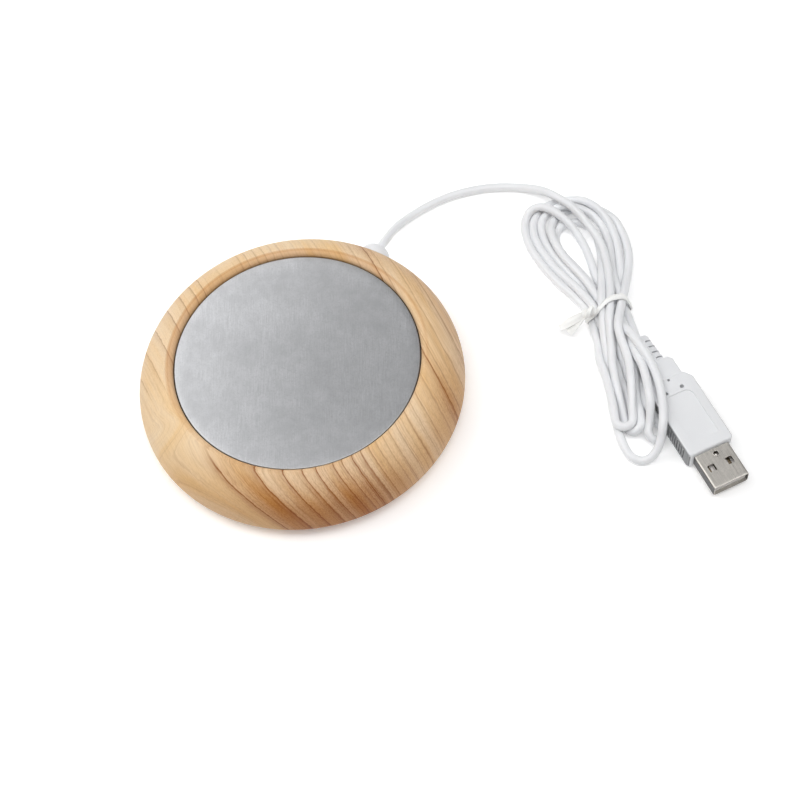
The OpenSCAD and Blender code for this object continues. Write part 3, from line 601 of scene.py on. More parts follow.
# ---------------------------------------------------------------- the cord, from the strain relief to the plug
CORD_R = 1.4
LEAD = [(0, 51.5, 6), (0, 54.5, 6), (0, 57.5, 6), (0, 61, 5.2), (0, 64.5, 4.2), (0.2, 68, 3.1), (1, 72, 2.1),
        (2.5, 76, 1.5), (4.7, 80, 1.4), (7.5, 84.2, 1.4), (10.8, 88.2, 1.4), (14.6, 91.8, 1.4), (19, 95.2, 1.4),
        (23.5, 97.8, 1.4), (28.3, 100, 1.4), (31.8, 101.1, 1.6), (35.2, 101.5, 2.4), (39, 101.2, 3.8), (43.2, 100, 5.4)]
HANK = [
        (47.5, 98.7, 6.2), (50.8, 97.7, 6.7), (54, 96.8, 5.7), (58.8, 94.7, 4.1), (63.3, 91.5, 4.1), (67.3, 87.8, 4.1),
        (70.5, 83.4, 4.3), (73.4, 78.7, 5), (75.9, 73.9, 5.6), (78.1, 68.9, 6.7), (80, 63.9, 7.8), (81.3, 60.1, 7.8),
        (83, 56.8, 6.4), (85.5, 52.3, 4.7), (87.8, 47.3, 4), (90.6, 42.6, 3.9), (93.6, 38.1, 3.1), (96.7, 33.7, 1.9),
        (99.9, 29.2, 1.4), (101.2, 27.7, 1.5), (103, 27.2, 2.2), (104.3, 28.1, 3.2), (104.6, 29.9, 3.9), (103.9, 31.8, 3.8),
        (103, 33.6, 3.5), (100, 38.1, 3.3), (97.3, 42.6, 5), (94.9, 47.5, 5.3), (91.5, 51.7, 5), (89.7, 54.1, 4.7),
        (88.8, 56.7, 3.7), (86.3, 61.4, 2.3), (83.2, 65.9, 2.3), (80.6, 70.7, 1.7), (78.7, 75.8, 1.4), (76.8, 81, 1.4),
        (74.6, 86, 1.4), (72, 90.9, 1.4), (68.9, 95.4, 1.6), (65, 99.1, 2.5), (60.2, 101.6, 3.7), (54.9, 102.7, 3.9),
        (50.1, 102.3, 2.6), (45.4, 99.8, 1.4), (42.1, 95.5, 1.4), (41.6, 90.5, 1.4), (43.5, 85.4, 1.4), (47.1, 81.3, 1.4),
        (51.4, 77.9, 1.4), (56, 74.9, 1.4), (60.9, 72.3, 1.9), (65.7, 69.8, 2.8), (70.3, 67, 3.6), (74.6, 63.7, 4.5),
        (78, 60.2, 3.5), (81.9, 56.9, 1.6), (85.9, 53.1, 1.4), (88.9, 48.5, 1.4), (92, 43.9, 1.4), (95.8, 40, 1.4),
        (99, 35.5, 1.4), (100.9, 32.6, 1.4), (102.2, 31.1, 1.4), (104.1, 30.8, 1.4), (105.7, 31.9, 1.4), (106.1, 33.8, 1.4),
        (105.1, 35.5, 1.4), (103.7, 36.9, 1.4), (99.9, 40.9, 1.4), (95.5, 44.1, 1.4), (92.1, 48.3, 2.4), (88.5, 52.3, 3.3),
        (85.6, 56.9, 3.9), (83, 61.7, 3.4), (79.5, 65.8, 2.3), (75.3, 69.2, 1.5), (70.8, 72.4, 1.4), (66.3, 75.5, 1.4),
        (61.5, 78.2, 1.4), (56.7, 80.8, 1.4), (52.4, 84.3, 1.4), (50.8, 87.9, 1.4), (51.1, 91.3, 1.4), (52.8, 93.8, 1.4),
        (55.9, 95.4, 1.4), (59.3, 95.2, 1.4), (62.4, 93.6, 1.4), (65.6, 89.8, 1.4), (68.4, 85.1, 1.5), (70.6, 80.1, 2.6),
        (72.5, 75.2, 4.2), (74.5, 70.3, 5.6), (76.6, 65.3, 6.6), (78.9, 60.4, 6.2), (81.4, 55.9, 4.2), (84.1, 51.5, 2.4),
        (86.9, 46.9, 1.4), (89.4, 42, 1.4), (91.7, 37, 1.4), (94.4, 32.2, 1.4), (97.5, 27.7, 1.4), (100.9, 23.3, 1.4),
        (104.9, 19.7, 1.4), (107.3, 19, 1.4), (109.7, 19.5, 1.5), (111.5, 21.1, 2.2), (112.3, 23.1, 3.4), (112.5, 25.9, 5.4),
        (111.4, 30.2, 8.8), (110.4, 32.8, 9.6), (109.2, 35.6, 9.5), (106.6, 40.4, 9.4), (103.5, 44.9, 9.2), (99.8, 49, 9.1),
        (95.5, 52.2, 10.2), (91, 55.3, 10.5), (87.5, 58.2, 8.5), (83.3, 60.9, 6.2), (79.1, 64, 4.7), (74.9, 67.5, 3.7),
        (70.6, 70.9, 3.8), (66.1, 74, 3.8), (61.3, 76.7, 3.8), (56.6, 79.5, 3.9), (52.4, 83, 4), (49.1, 87.4, 3.4),
        (48, 92, 2.1), (49, 95.8, 1.4), (51.5, 99.5, 1.4), (56.2, 102.4, 1.4), (61.6, 102.8, 1.4), (66.7, 101, 1.4),
        (70.9, 97.3, 1.4), (74.3, 93.1, 1.4), (77, 88.3, 1.4), (78.8, 83.2, 2.1), (80.1, 78.1, 3.9), (81.4, 73.2, 6.1),
        (82.5, 68.1, 7.6), (83.7, 62.9, 8.9), (85.2, 57.7, 9.8), (87, 54.9, 9.1), (90, 51.7, 7.7), (93.3, 47.4, 7.5),
        (95.9, 42.5, 7.6), (98.2, 37.9, 5.9), (100.3, 33.1, 4.4), (101.2, 31.3, 4.1), (101.8, 29.4, 4), (101.1, 27.5, 4),
        (99.4, 26.6, 4), (97.5, 27.1, 4), (96.3, 28.7, 4), (95.3, 30.4, 4), (92.4, 35.1, 4), (89.3, 39.6, 3.7),
        (86.1, 44, 2.9), (82.9, 48.3, 1.7), (80.5, 53.2, 1.4), (77.2, 57.6, 1.9), (74.1, 62.1, 2.2), (69.7, 65.3, 1.5),
        (64.8, 67.6, 1.4), (59.7, 69.9, 1.4), (54.9, 72.4, 1.4), (50.2, 75.4, 1.4), (45.9, 78.7, 1.4), (42.1, 82.7, 1.4),
        (39.4, 87.5, 1.6), (39, 90.3, 2.4), (39.6, 92.4, 3.4), (41.4, 93.9, 4.3), (43.8, 94.4, 4.8), (47.3, 94.1, 4.8),
        (52.5, 92.7, 3.9), (57.2, 90.5, 2.1), (61.4, 87.1, 1.4), (65.1, 83, 1.4), (68.5, 78.7, 1.4), (72.2, 74.7, 1.5),
        (76.1, 71.1, 3.1), (79.8, 67.3, 4.4), (83.8, 63.6, 5), (87.6, 59.6, 5.5), (90.6, 55.6, 7.7), (92.3, 53.2, 8.2),
        (94.5, 50.5, 8.4), (98.2, 46.5, 9.1), (101.3, 42, 9.4), (104.1, 37.3, 9.4), (105.6, 34.6, 7.7), (107.1, 30.6, 4.6),
        (107.6, 28.6, 3.7), (109.2, 27.2, 2.9), (111.1, 27.6, 2.4), (111.9, 29.4, 2.3), (111.1, 31.3, 2.7), (108.6, 33.3, 3.5),
        (104, 36.8, 4.5), (102.2, 39.2, 4.4), (100.8, 41.8, 3.9), (97, 45.5, 3), (95.2, 48.5, 2.4), (91.7, 51.9, 1.5),
        (87.8, 55.7, 1.4), (83.5, 59.1, 1.4), (79.1, 62.3, 2.3), (74.6, 65.3, 1.9), (70.5, 69, 1.4), (66.1, 72.3, 1.4),
        (61.4, 75.1, 1.4), (56.6, 77.7, 1.4), (52, 80.8, 1.4), (47.9, 84.4, 1.4), (44.8, 88.9, 1.4), (44.2, 91.9, 1.5),
        (45, 94.7, 2), (47, 96.6, 3.1), (49.9, 98.1, 4), (53.2, 99.2, 3.7), (58.4, 99.9, 2.1), (62, 98.4, 1.4),
        (65, 95.8, 1.4), (68.4, 91.5, 1.4), (71.2, 86.7, 1.4), (73.6, 81.8, 2), (76.3, 77.2, 3.2), (79.5, 72.8, 4.1),
        (83, 68.6, 4.5), (86.6, 64.5, 4), (90.1, 60.3, 4), (92.8, 57.3, 4),
]
TIE_AT, TIE_TURN = np.array([79.4, 64.2]), math.radians(39.5)
PLUG_AT, PLUG_TURN = np.array([132.4, 25.4]), math.radians(-39)
SHELL_Z = 4.0

path_mm = spline(LEAD + HANK, 1.5)
path_mm[:, 2] = np.maximum(path_mm[:, 2], CORD_R)
cord = sweep("cord", path_mm, circle_section(CORD_R, 20))
finish_piece(cord, MAT["cord_pvc"], "cord_pvc", "cord_lead", "cord_hank", "cord_tail")

# ---------------------------------------------------------------- twist tie
def across(p):
    d = np.asarray(p[:2]) - TIE_AT
    c, s = math.cos(TIE_TURN), math.sin(TIE_TURN)
    return d[0] * c + d[1] * s, -d[0] * s + d[1] * c


def tie_to_part(s, t, z):
    c, q = math.cos(TIE_TURN), math.sin(TIE_TURN)
    return np.array([TIE_AT[0] + s * c - t * q, TIE_AT[1] + s * q + t * c, z])


# where the strands cross the tie's plane
cross = []
for i in range(len(path_mm) - 1):
    s0, t0 = across(path_mm[i])
    s1, t1 = across(path_mm[i + 1])
    if t0 * t1 <= 0 and abs(s0) < 10 and t0 != t1:
        f = t0 / (t0 - t1)
        cross.append((s0 + (s1 - s0) * f, path_mm[i][2] + (path_mm[i + 1][2] - path_mm[i][2]) * f))
cross = np.array(cross)
TIE_GAP = CORD_R + 0.42
loop = []
for k in range(96):
    a = math.radians(200) + 2 * math.pi * k / 96
    n = np.array([math.cos(a), math.sin(a)])
    c = cross[np.argmax(cross @ n)]
    loop.append(c + n * TIE_GAP)
loop = np.array(loop)
for _ in range(3):
    loop = 0.25 * np.roll(loop, 1, 0) + 0.5 * loop + 0.25 * np.roll(loop, -1, 0)
loop[:, 1] = np.maximum(loop[:, 1], 0.76)
# the tape is a flat ribbon with a wire along its middle, rolled over itself on the top
zmid = float(loop[:, 1].mean())
band_path = []
for k, (s, z) in enumerate(loop):
    high = min(1.0, max(0.0, (z - zmid) / 2.5 + 0.5))
    bow = float(np.interp(s, BAND_S, BAND_T))
    band_path.append(tie_to_part(s, high * bow + (1 - high) * 0.25 * math.sin(3 * k * 2 * math.pi / 96), z + 0.12 * high))
bp_ = np.array(band_path)
c0 = bp_.mean(0)
verts, faces = [], []
sec = [(1.15, 0.10), (1.02, 0.27), (0.62, 0.38), (0.36, 0.60), (0.0, 0.68), (-0.36, 0.60), (-0.62, 0.38), (-1.02, 0.27), (-1.15, 0.10),
       (-1.0, -0.14), (-0.5, -0.30), (0.0, -0.36), (0.5, -0.30), (1.0, -0.14)]
axis = np.array([-math.sin(TIE_TURN), math.cos(TIE_TURN), 0.0])
nb = len(bp_)
tang = (np.roll(bp_, -1, 0) - np.roll(bp_, 1, 0))
tang /= np.linalg.norm(tang, axis=1)[:, None]
for i in range(nb):
    out = np.cross(tang[i], axis)
    if np.dot(out, bp_[i] - c0) < 0:
        out = -out
    w = 0.92 + 0.06 * math.sin(5 * i / nb * 2 * math.pi)
    tw = 0.22 * math.sin(2.3 + 3 * i / nb * 2 * math.pi)
    for (x, y) in sec:
        x2, y2 = x * w * math.cos(tw) - y * math.sin(tw), x * w * math.sin(tw) + y * math.cos(tw)
        verts.append((bp_[i] + axis * x2 + out * y2) * MM)
m_ = len(sec)
for i in range(nb):
    for j in range(m_):
        a, b = (i + 1) % nb, (j + 1) % m_
        faces.append((i * m_ + j, i * m_ + b, a * m_ + b, a * m_ + j))
tie_band = new_mesh("tie_band", verts, faces)
left = tie_to_part(cross[:, 0].min() - TIE_GAP, 0, 0)
lz = float(cross[np.argmin(cross[:, 0]), 1])


def ribbon_section(w, t, rib):
    """Half width w, half thickness t, with the wire's rib of height rib along the middle."""
    up = [(w, 0.3 * t), (0.92 * w, t), (0.45 * w, t * 1.1), (0.24 * w, t + 0.6 * rib), (0, t + rib), (-0.24 * w, t + 0.6 * rib),
          (-0.45 * w, t * 1.1), (-0.92 * w, t), (-w, 0.3 * t)]
    return up + [(x, -y) for x, y in reversed(up)]


# the two ends, twisted together and cut
def ribbon(name, pts, w, t, rib, twist0, twist1, widths=None, step=0.35):
    p = spline(pts, step)
    n = len(p)
    f = np.linspace(0, 1, n)
    ww = np.ones(n) if widths is None else np.interp(f, [x for x, _ in widths], [y for _, y in widths])
    tw = twist0 + (twist1 - twist0) * f
    tg, s, u = frames_along(p)
    vs, fs = [], []
    for i in range(n):
        sec_ = ribbon_section(w * ww[i], t, rib)
        c, q = math.cos(tw[i]), math.sin(tw[i])
        vs += [(p[i] + s[i] * (x * c - y * q) + u[i] * (x * q + y * c)) * MM for x, y in sec_]
    m = len(sec_)
    for i in range(n - 1):
        for j in range(m):
            b = (j + 1) % m
            fs.append((i * m + j, i * m + b, (i + 1) * m + b, (i + 1) * m + j))
    fs += [tuple(range(m - 1, -1, -1)), tuple((n - 1) * m + j for j in range(m))]
    return new_mesh(name, vs, fs)


ka, kb = np.array(KNOT_A), np.array(KNOT_B)
knot = ribbon("knot", [ka, ka * 0.5 + kb * 0.5 + np.array([0, 0, 0.35]), kb], 1.5, 0.85, 0.12, 0.3, 4.2,
              widths=[(0, 0.75), (0.2, 1.05), (0.75, 1.05), (1, 0.7)], step=0.15)
tail_a = ribbon("tail_a", TAIL_A, 1.5, 0.26, 0.14, 0.75, 0.05, widths=[(0, 0.6), (0.2, 0.85), (0.6, 1.0), (1, 0.82)])
tail_b = ribbon("tail_b", TAIL_B, 1.5, 0.26, 0.14, -0.55, 0.25, widths=[(0, 0.55), (0.25, 0.9), (0.7, 1.0), (1, 0.9)])
tie = join("twist_tie_ribbon", [tie_band, knot, tail_a, tail_b])
smooth_by_angle(tie, 50)
finish_piece(tie, MAT["tie_white"], "tie_white", "twist_tie")

# ---------------------------------------------------------------- the wooden ring
RING_R, OPEN_R, RING_BOT, BORE_R, BORE_TOP = 52.5, 39.3, 1.5, 45.6, 15.0
BELLY, TOP_RC, TOP_B, LOW_RC, LIP_R, CREST = 5.7, 33.7, 16.1, 47.6, 1.3, 20.6
TOP_A, LOW_A, LOW_B = RING_R - TOP_RC, RING_R - LOW_RC, BELLY - RING_BOT
PHI = math.acos((OPEN_R + 2.1 - TOP_RC) / TOP_A)
FIX = CREST - (BELLY + TOP_B * math.sin(PHI))
prof = [(LOW_RC + LOW_A * math.cos(p), BELLY + LOW_B * math.sin(p)) for p in [math.radians(-90 + 90 * i / 14) for i in range(15)]]
prof += [(TOP_RC + TOP_A * math.cos(PHI * t), BELLY + TOP_B * math.sin(PHI * t) + FIX * t) for t in [i / 48 for i in range(1, 49)]]
prof += [(OPEN_R + LIP_R + LIP_R * math.cos(p), CREST - LIP_R - 0.05 + LIP_R * math.sin(p))
         for p in [math.radians(76 + 104 * i / 10) for i in range(0, 11)]]
prof += [(OPEN_R, 18.6), (OPEN_R, 17.0), (OPEN_R, BORE_TOP), (43, BORE_TOP), (BORE_R, BORE_TOP), (BORE_R, 10), (BORE_R, RING_BOT + 0.35), (BORE_R + 0.35, RING_BOT)]
ring = lathe("wooden_ring", prof, 256)


def y_cylinder(name, r, y0, y1, z, n=64):
    v = [(r * math.cos(2 * math.pi * k / n) * MM, y * MM, (z + r * math.sin(2 * math.pi * k / n)) * MM) for y in (y0, y1) for k in range(n)]
    f = [(k, (k + 1) % n, n + (k + 1) % n, n + k) for k in range(n)] + [tuple(range(n))[::-1], tuple(range(n, 2 * n))]
    return new_mesh(name, v, f)


cut(ring, y_cylinder("port", 3.2, 40, 60, 6))
cut(ring, y_cylinder("seat", 5.5, 51, 62, 6))
smooth_by_angle(ring, 40)
finish_piece(ring, MAT["pine_satin"], "pine_satin", "wood_ring")

# ---------------------------------------------------------------- the plate
PR, PT, PB = 38.95, 19.3, 18.1
pp = [(0, PB), (PR - 0.3, PB), (PR, PB + 0.3)]
pp += [(PR - 0.2 + 0.2 * math.cos(a), PT - 0.2 + 0.2 * math.sin(a)) for a in [math.radians(90 * i / 6) for i in range(7)]]
pp += [(PR - 0.2 - 2.5 * i, PT) for i in range(1, 15)] + [(0, PT)]
plate = lathe("heating_plate", pp, 192, closed=True)
smooth_by_angle(plate, 40)
finish_piece(plate, MAT["plate_brushed"], "plate_brushed", "heat_plate")

# ---------------------------------------------------------------- strain relief at the exit
gp = [(1.43, 41.0), (4.4, 41.0), (4.4, 43.1), (3.1, 43.1), (3.1, 51.0), (5.3, 51.0), (5.3, 51.5), (5.22, 51.8)]
gp += [(1.75 + 3.3 * math.cos(a) ** 0.8, 52.3 + 3.6 * math.sin(a)) for a in [math.radians(90 * i / 18) for i in range(0, 17)]] + [(1.75, 55.9), (1.6, 55.85), (1.43, 55.7)]
gro = lathe("strain_relief", gp, 96)
gro.data.transform(Matrix.Translation((0, 0, 6 * MM)) @ Matrix.Rotation(-math.pi / 2, 4, "X"))
smooth_by_angle(gro, 35)
finish_piece(gro, MAT["cord_pvc"], "cord_pvc", "grommet")

# ---------------------------------------------------------------- feet
fv, ff = [], []
feet_obs = []
for i in range(4):
    a = math.radians(45 + 90 * i)
    p = [(0, 0.25), (2.6, 0.25), (3.1, 0.0), (4.45, 0.0)] + [(4.45 + 0.55 * math.sin(q), 0.55 - 0.55 * math.cos(q)) for q in [math.radians(90 * k / 5) for k in range(1, 6)]] + [(5.0, 2.0), (0, 2.0)]
    o = lathe("foot", p, 48)
    o.data.transform(Matrix.Translation((34 * math.cos(a) * MM, 34 * math.sin(a) * MM, 0)))
    feet_obs.append(o)


feet = join("foot_pads", feet_obs)
smooth_by_angle(feet, 40)
finish_piece(feet, MAT["foot_rubber"], "foot_rubber", "feet")

# ---------------------------------------------------------------- the plug, in its own frame: U towards the tip, N to the left
def plug_place(ob):
    c, s = math.cos(PLUG_TURN), math.sin(PLUG_TURN)
    ob.data.transform(Matrix(((c, -s, 0, PLUG_AT[0] * MM), (s, c, 0, PLUG_AT[1] * MM), (0, 0, 1, 0), (0, 0, 0, 1))))
    return ob


def round_outline(pts, n=7):
    """A closed outline of (x, y, radius) corners, as a fine polygon with rounded corners."""
    out = []
    m = len(pts)
    for i in range(m):
        p0, p, p1 = (np.array(pts[(i + k) % m][:2], float) for k in (-1, 0, 1))
        r = pts[i][2]
        a, b = p0 - p, p1 - p
        la, lb = np.linalg.norm(a), np.linalg.norm(b)
        a, b = a / la, b / lb
        ang = math.acos(max(-1, min(1, float(a @ b))))
        if r < 1e-6 or ang > math.pi - 1e-3:
            out.append(p)
            continue
        d = min(r / math.tan(ang / 2), 0.49 * la, 0.49 * lb)
        r = d * math.tan(ang / 2)
        bis = (a + b) / np.linalg.norm(a + b)
        c = p + bis * (r / math.sin(ang / 2))
        s, e = p + a * d, p + b * d
        a0 = math.atan2(*(s - c)[::-1])
        a1 = math.atan2(*(e - c)[::-1])
        da = (a1 - a0 + math.pi) % (2 * math.pi) - math.pi
        out += [c + r * np.array([math.cos(a0 + da * k / n), math.sin(a0 + da * k / n)]) for k in range(n + 1)]
    return np.array(out)


def offset_outline(o, d):
    """The outline moved inwards by d, vertex by vertex. The outline runs anticlockwise."""
    e = np.roll(o, -1, 0) - np.roll(o, 1, 0)
    e /= np.linalg.norm(e, axis=1)[:, None]
    n = np.stack([-e[:, 1], e[:, 0]], 1)
    return o + n * d


def slab(name, outline, z0, z1, r, n=5, inset_top=0.0):
    """An outline drawn up into a slab whose top and bottom edges are rounded by r."""
    rows = []
    for k in range(n + 1):
        a = math.radians(90 * (1 - k / n))
        rows.append((r * (1 - math.cos(a)), z0 + r * (1 - math.sin(a))))
    for k in range(n + 1):
        a = math.radians(90 * k / n)
        rows.append((r * (1 - math.cos(a)) + inset_top, z1 - r * (1 - math.sin(a))))
    m = len(outline)
    verts, faces = [], []
    for d, z in rows:
        verts += [(x * MM, y * MM, z * MM) for x, y in offset_outline(outline, d)]
    for i in range(len(rows) - 1):
        for j in range(m):
            q = (j + 1) % m
            faces.append((i * m + j, i * m + q, (i + 1) * m + q, (i + 1) * m + j))
    faces.append(tuple(range(m - 1, -1, -1)))
    faces.append(tuple((len(rows) - 1) * m + j for j in range(m)))
    return new_mesh(name, verts, faces)


def box_mesh(name, x0, x1, y0, y1, z0, z1):
    v = [(x * MM, y * MM, z * MM) for z in (z0, z1) for y in (y0, y1) for x in (x0, x1)]
    return new_mesh(name, v, [(0, 2, 3, 1), (4, 5, 7, 6), (0, 1, 5, 4), (2, 6, 7, 3), (0, 4, 6, 2), (1, 3, 7, 5)], smooth=False)


def z_cylinder(name, x, y, r, z0, z1, n=24, r1=None):
    r1 = r if r1 is None else r1
    v = [((x + q * math.cos(2 * math.pi * k / n)) * MM, (y + q * math.sin(2 * math.pi * k / n)) * MM, z * MM) for z, q in ((z0, r), (z1, r1)) for k in range(n)]
    return new_mesh(name, v, [(k, (k + 1) % n, n + (k + 1) % n, n + k) for k in range(n)] + [tuple(range(n))[::-1], tuple(range(n, 2 * n))])


BW, BT = 7.75, 8.0
body = slab("plug_moulding", round_outline([(-5.9, -BW, 1.5), (-5.9, BW, 1.5), (-31.0, BW, 1.6), (-33.6, 5.6, 0.8), (-33.6, -5.6, 0.8), (-31.0, -BW, 1.6)]), 0.0, BT, 0.75)
neck = slab("plug_neck", round_outline([(-29.0, -5.5, 0.5), (-29.0, 5.5, 0.5), (-39.4, 5.5, 0.9), (-40.8, 4.2, 0.7), (-40.8, -4.2, 0.7), (-39.4, -5.5, 0.9)]), 0.45, 7.55, 0.6)
cut(body, neck, "UNION")
# recessed panel on both faces, left plain, with a soft step round it
PANEL = [(-9.8, -4.7, 0.8), (-9.8, 4.7, 0.8), (-27.2, 4.7, 2.6), (-27.2, -4.7, 2.6)]
for zz, s in ((BT, 1), (0.0, -1)):
    pan = slab("panel", round_outline(PANEL), zz - 0.3, zz + 1.2, 0.1) if s > 0 else \
        slab("panel", round_outline(PANEL), -1.2, 0.14, 0.1)
    cut(body, pan)
# dimples left by the mould's pins
for (x, y, r) in ((-28.75, 2.6, 0.62), (-28.4, -2.95, 0.5), (-32.5, 0.0, 0.42)):
    cut(body, z_cylinder("pin", x, y, r * 0.85, BT - 2.4, BT + 0.6, r1=r * 1.12))
# grip ridges on both flanks
for i in range(15):
    x = -9.4 - 1.3 * i
    for s in (-1, 1):
        y0 = s * (BW + 0.6)
        y1 = s * (BW - 0.5)
        cut(body, box_mesh("ridge", x - 0.32, x + 0.32, min(y0, y1), max(y0, y1), 0.9, BT - 1.3))
# pocket of the shell
cut(body, box_mesh("pocket", -11.9, -4.0, -6.0, 6.0, SHELL_Z - 2.25, SHELL_Z + 2.25))
plug_place(body)
smooth_by_angle(body, 30)
finish_piece(body, MAT["plug_pvc"], "plug_pvc", "plug_body")

# slotted strain relief of the plug
def boot_ring(u, w, h, r=2.3, n=6):
    o = round_outline([(w / 2, -h / 2, r), (w / 2, h / 2, r), (-w / 2, h / 2, r), (-w / 2, -h / 2, r)], n)
    return [(u * MM, y * MM, (SHELL_Z + z) * MM) for y, z in o]


stations = [(-51.6, 5.8, 4.6, 1.9), (-51.45, 6.3, 5.0, 2.1), (-51.0, 6.7, 5.3, 2.2), (-48, 6.9, 5.4, 2.3), (-45, 7.3, 5.6, 2.3), (-42, 7.6, 5.7, 2.3), (-40.2, 7.7, 5.8, 2.3)]
rings_ = [boot_ring(*s) for s in stations]
nv = len(rings_[0])
verts = [v for r in rings_ for v in r]
faces = []
for i in range(len(rings_) - 1):
    for j in range(nv):
        q = (j + 1) % nv
        faces.append((i * nv + j, i * nv + q, (i + 1) * nv + q, (i + 1) * nv + j))
faces += [tuple(range(nv - 1, -1, -1)), tuple((len(rings_) - 1) * nv + j for j in range(nv))]
boot = new_mesh("plug_strain_relief", verts, faces)
for i, u in enumerate((-48.9, -46.6, -44.3, -42.0)):
    for s in (-1, 1):
        y0, y1 = (0.95, 6.0) if s > 0 else (-6.0, -0.95)
        cut(boot, box_mesh("slot", u - 0.27, u + 0.27, y0, y1, SHELL_Z - 4, SHELL_Z + 4))
plug_place(boot)
smooth_by_angle(boot, 30)
finish_piece(boot, MAT["plug_pvc"], "plug_pvc", "plug_boot")

# folded steel shell
def rr_section(w, h, r, n=5):
    return round_outline([(w / 2, -h / 2, r), (w / 2, h / 2, r), (-w / 2, h / 2, r), (-w / 2, -h / 2, r)], n)


def shell_rows(rows):
    verts, faces = [], []
    m = None
    for (u, w, h, r) in rows:
        o = rr_section(w, h, r)
        m = len(o)
        verts += [(u * MM, y * MM, (SHELL_Z + z) * MM) for y, z in o]
    k = len(rows)
    for i in range(k):
        a, b = i, (i + 1) % k
        for j in range(m):
            q = (j + 1) % m
            faces.append((a * m + j, a * m + q, b * m + q, b * m + j))
    return verts, faces


TIP = 6.4
v, f = shell_rows([(-11.8, 11.98, 4.48, 0.55), (-4.1, 11.98, 4.48, 0.55), (-0.2, 11.98, 4.48, 0.55), (TIP - 0.5, 11.98, 4.48, 0.55), (TIP - 0.12, 11.9, 4.4, 0.55), (TIP, 11.74, 4.24, 0.5),
                   (TIP, 11.58, 4.08, 0.45), (TIP - 0.12, 11.44, 3.94, 0.4), (TIP - 0.5, 11.4, 3.9, 0.35), (-0.2, 11.4, 3.9, 0.35), (-4.1, 11.4, 3.9, 0.35), (-11.8, 11.4, 3.9, 0.35)])
shell = new_mesh("plug_shell_sheet", v, f)
for y in (-3.05, 3.05):
    hole = round_outline([(-1.45, y - 1.15, 0.35), (1.05, y - 1.15, 0.35), (1.05, y + 1.15, 0.35), (-1.45, y + 1.15, 0.35)])
    cut(shell, slab("window", hole, SHELL_Z - 6, SHELL_Z + 6, 0.05))
# the seam of the folded sheet, underneath
cut(shell, box_mesh("seam", -11.9, TIP + 0.1, -0.06, 0.06, SHELL_Z - 3, SHELL_Z - 2.1))
# the pressed detent between the windows and the moulding
det = []
cut(shell, z_cylinder("detent", -4.1, 0.6, 0.8, SHELL_Z + 1.6, SHELL_Z + 3.0, 32))
plug_place(shell)
smooth_by_angle(shell, 4)
finish_piece(shell, MAT["plug_steel"], "plug_steel", "plug_shell")
# the detent: a raised lip round the hole, and the pressed tongue that half fills it
DX, DY = -4.1, 0.6
lip = [(0.78, -0.25), (0.80, 0.04), (0.88, 0.13), (1.0, 0.16), (1.12, 0.12), (1.2, 0.0), (1.2, -0.25)]
dv, df = [], []
for (r, z) in lip:
    dv += [((DX + r * math.cos(2 * math.pi * k / 32)) * MM, (DY + r * math.sin(2 * math.pi * k / 32)) * MM, (SHELL_Z + 2.24 + z) * MM) for k in range(32)]
for i in range(len(lip)):
    for k in range(32):
        a, q = (i + 1) % len(lip), (k + 1) % 32
        df.append((i * 32 + k, i * 32 + q, a * 32 + q, a * 32 + k))
rim = new_mesh("detent_lip", dv, df)
tv, tf = [], []
for i in range(6):
    a = math.radians(90 * i / 5)
    for k in range(24):
        b = 2 * math.pi * k / 24
        tv.append(((DX + 0.28 + 0.62 * math.cos(a) * math.cos(b)) * MM, (DY - 0.18 + 0.62 * math.cos(a) * math.sin(b)) * MM,
                   (SHELL_Z + 1.75 + 0.55 * math.sin(a)) * MM))
for i in range(5):
    for k in range(24):
        q = (k + 1) % 24
        tf.append((i * 24 + k, i * 24 + q, (i + 1) * 24 + q, (i + 1) * 24 + k))
tf.append(tuple(range(24))[::-1])
tf.append(tuple(5 * 24 + k for k in range(24)))
dome = join("plug_shell_detent", [rim, new_mesh("dome", tv, tf)])
plug_place(dome)
smooth_by_angle(dome, 50)
finish_piece(dome, MAT["plug_steel"], "plug_steel")
# ---------------------------------------------------------------- the CAD pieces that stay, with their finishes
KEEP = dict(gap_seal="seal_black", film_upper="film_amber", heater_track="track_alloy", film_lower="film_amber",
            insulation_pad="pad_fibre", retainer="retainer_alu", retainer_screws="screw_steel", chassis="chassis_white",
            thermal_fuse="fuse_steel", fuse_clip="retainer_alu", wire_red="wire_red", wire_black="wire_black",
            wire_link="wire_red", crimp_sleeves="fuse_steel", cord_stub="cord_pvc", cord_clamp="chassis_white",
            clamp_screws="screw_steel", base_cover="base_white", cover_screws="screw_steel",
            plug_tongue="tongue_white", plug_contacts="contact_gold")
for node, key in KEEP.items():
    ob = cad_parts[node]
    if not ob.data.materials:
        ob.data.materials.append(MAT[key])
    for sl_ in ob.material_slots:
        sl_.material = MAT[key]

# ---------------------------------------------------------------- floor and light
fm = bpy.data.materials.new("floor_pale")
fm.use_nodes = True
fb = fm.node_tree.nodes["Principled BSDF"]
fb.inputs["Base Color"].default_value = (0.93, 0.93, 0.93, 1)
fb.inputs["Roughness"].default_value = 0.9
fb.inputs["Specular IOR Level"].default_value = 0.0
fb.inputs["Emission Color"].default_value = (1, 1, 1, 1)
fb.inputs["Emission Strength"].default_value = LIGHT["floor_glow"]
bpy.ops.mesh.primitive_plane_add(size=8, location=(0, 0, -0.0002))
floor = bpy.context.object
floor.name = "floor"
floor.data.materials.append(fm)


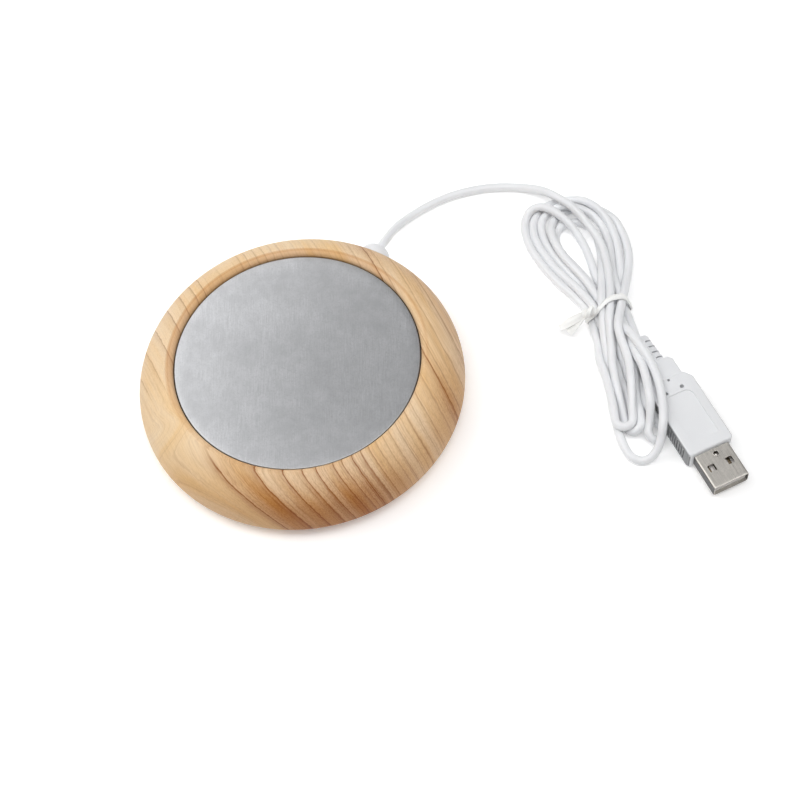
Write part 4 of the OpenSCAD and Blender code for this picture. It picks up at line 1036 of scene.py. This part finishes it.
def area(name, azimuth, elevation, dist, size, power, aim=(30, 20, 8), colour=(1, 1, 1), size_y=None):
    ld = bpy.data.lights.new(name, "AREA")
    ld.shape = "RECTANGLE"
    ld.size = size
    ld.size_y = size_y or size
    ld.energy = power
    ld.color = colour
    ob = bpy.data.objects.new(name, ld)
    scene.collection.objects.link(ob)
    a, e = math.radians(azimuth), math.radians(elevation)
    d = Vector((math.cos(a) * math.cos(e), math.sin(a) * math.cos(e), math.sin(e)))
    at = Vector(aim) * MM
    ob.location = at + d * dist
    ob.rotation_euler = d.to_track_quat("Z", "Y").to_euler()
    return ob


for args in LIGHT["areas"]:
    area(**args)
world = bpy.data.worlds.new("studio")
scene.world = world
world.use_nodes = True
wt = world.node_tree
bg = wt.nodes["Background"]
bg.inputs[1].default_value = LIGHT["world"]
wtc = wt.nodes.new("ShaderNodeTexCoord")
dot = wt.nodes.new("ShaderNodeVectorMath")
dot.operation = "DOT_PRODUCT"
wt.links.new(wtc.outputs["Generated"], dot.inputs[0])
wa = math.radians(LIGHT["sky_az"])
dot.inputs[1].default_value = (math.cos(wa) * 0.8, math.sin(wa) * 0.8, 0.6)
wr = wt.nodes.new("ShaderNodeMapRange")
wr.inputs[1].default_value, wr.inputs[2].default_value = -1.0, 1.0
wr.inputs[3].default_value, wr.inputs[4].default_value = LIGHT["sky"]
wt.links.new(dot.outputs["Value"], wr.inputs[0])
# a paler band of wall all round, near the level of the table
low = wt.nodes.new("ShaderNodeSeparateXYZ")
wt.links.new(wtc.outputs["Generated"], low.inputs[0])
lr = wt.nodes.new("ShaderNodeMapRange")
lr.interpolation_type = "SMOOTHSTEP"
lr.inputs[1].default_value, lr.inputs[2].default_value = 0.20, 0.55
lr.inputs[3].default_value, lr.inputs[4].default_value = LIGHT["wall"], 0.0
wt.links.new(low.outputs[2], lr.inputs[0])
wm = wt.nodes.new("ShaderNodeMath")
wm.operation = "MAXIMUM"
wt.links.new(wr.outputs[0], wm.inputs[0])
wt.links.new(lr.outputs[0], wm.inputs[1])
wt.links.new(wm.outputs[0], bg.inputs[0])

scene.view_settings.view_transform = "Standard"
scene.view_settings.look = "None"
scene.view_settings.exposure = 0.0
scene.view_settings.gamma = 1.0
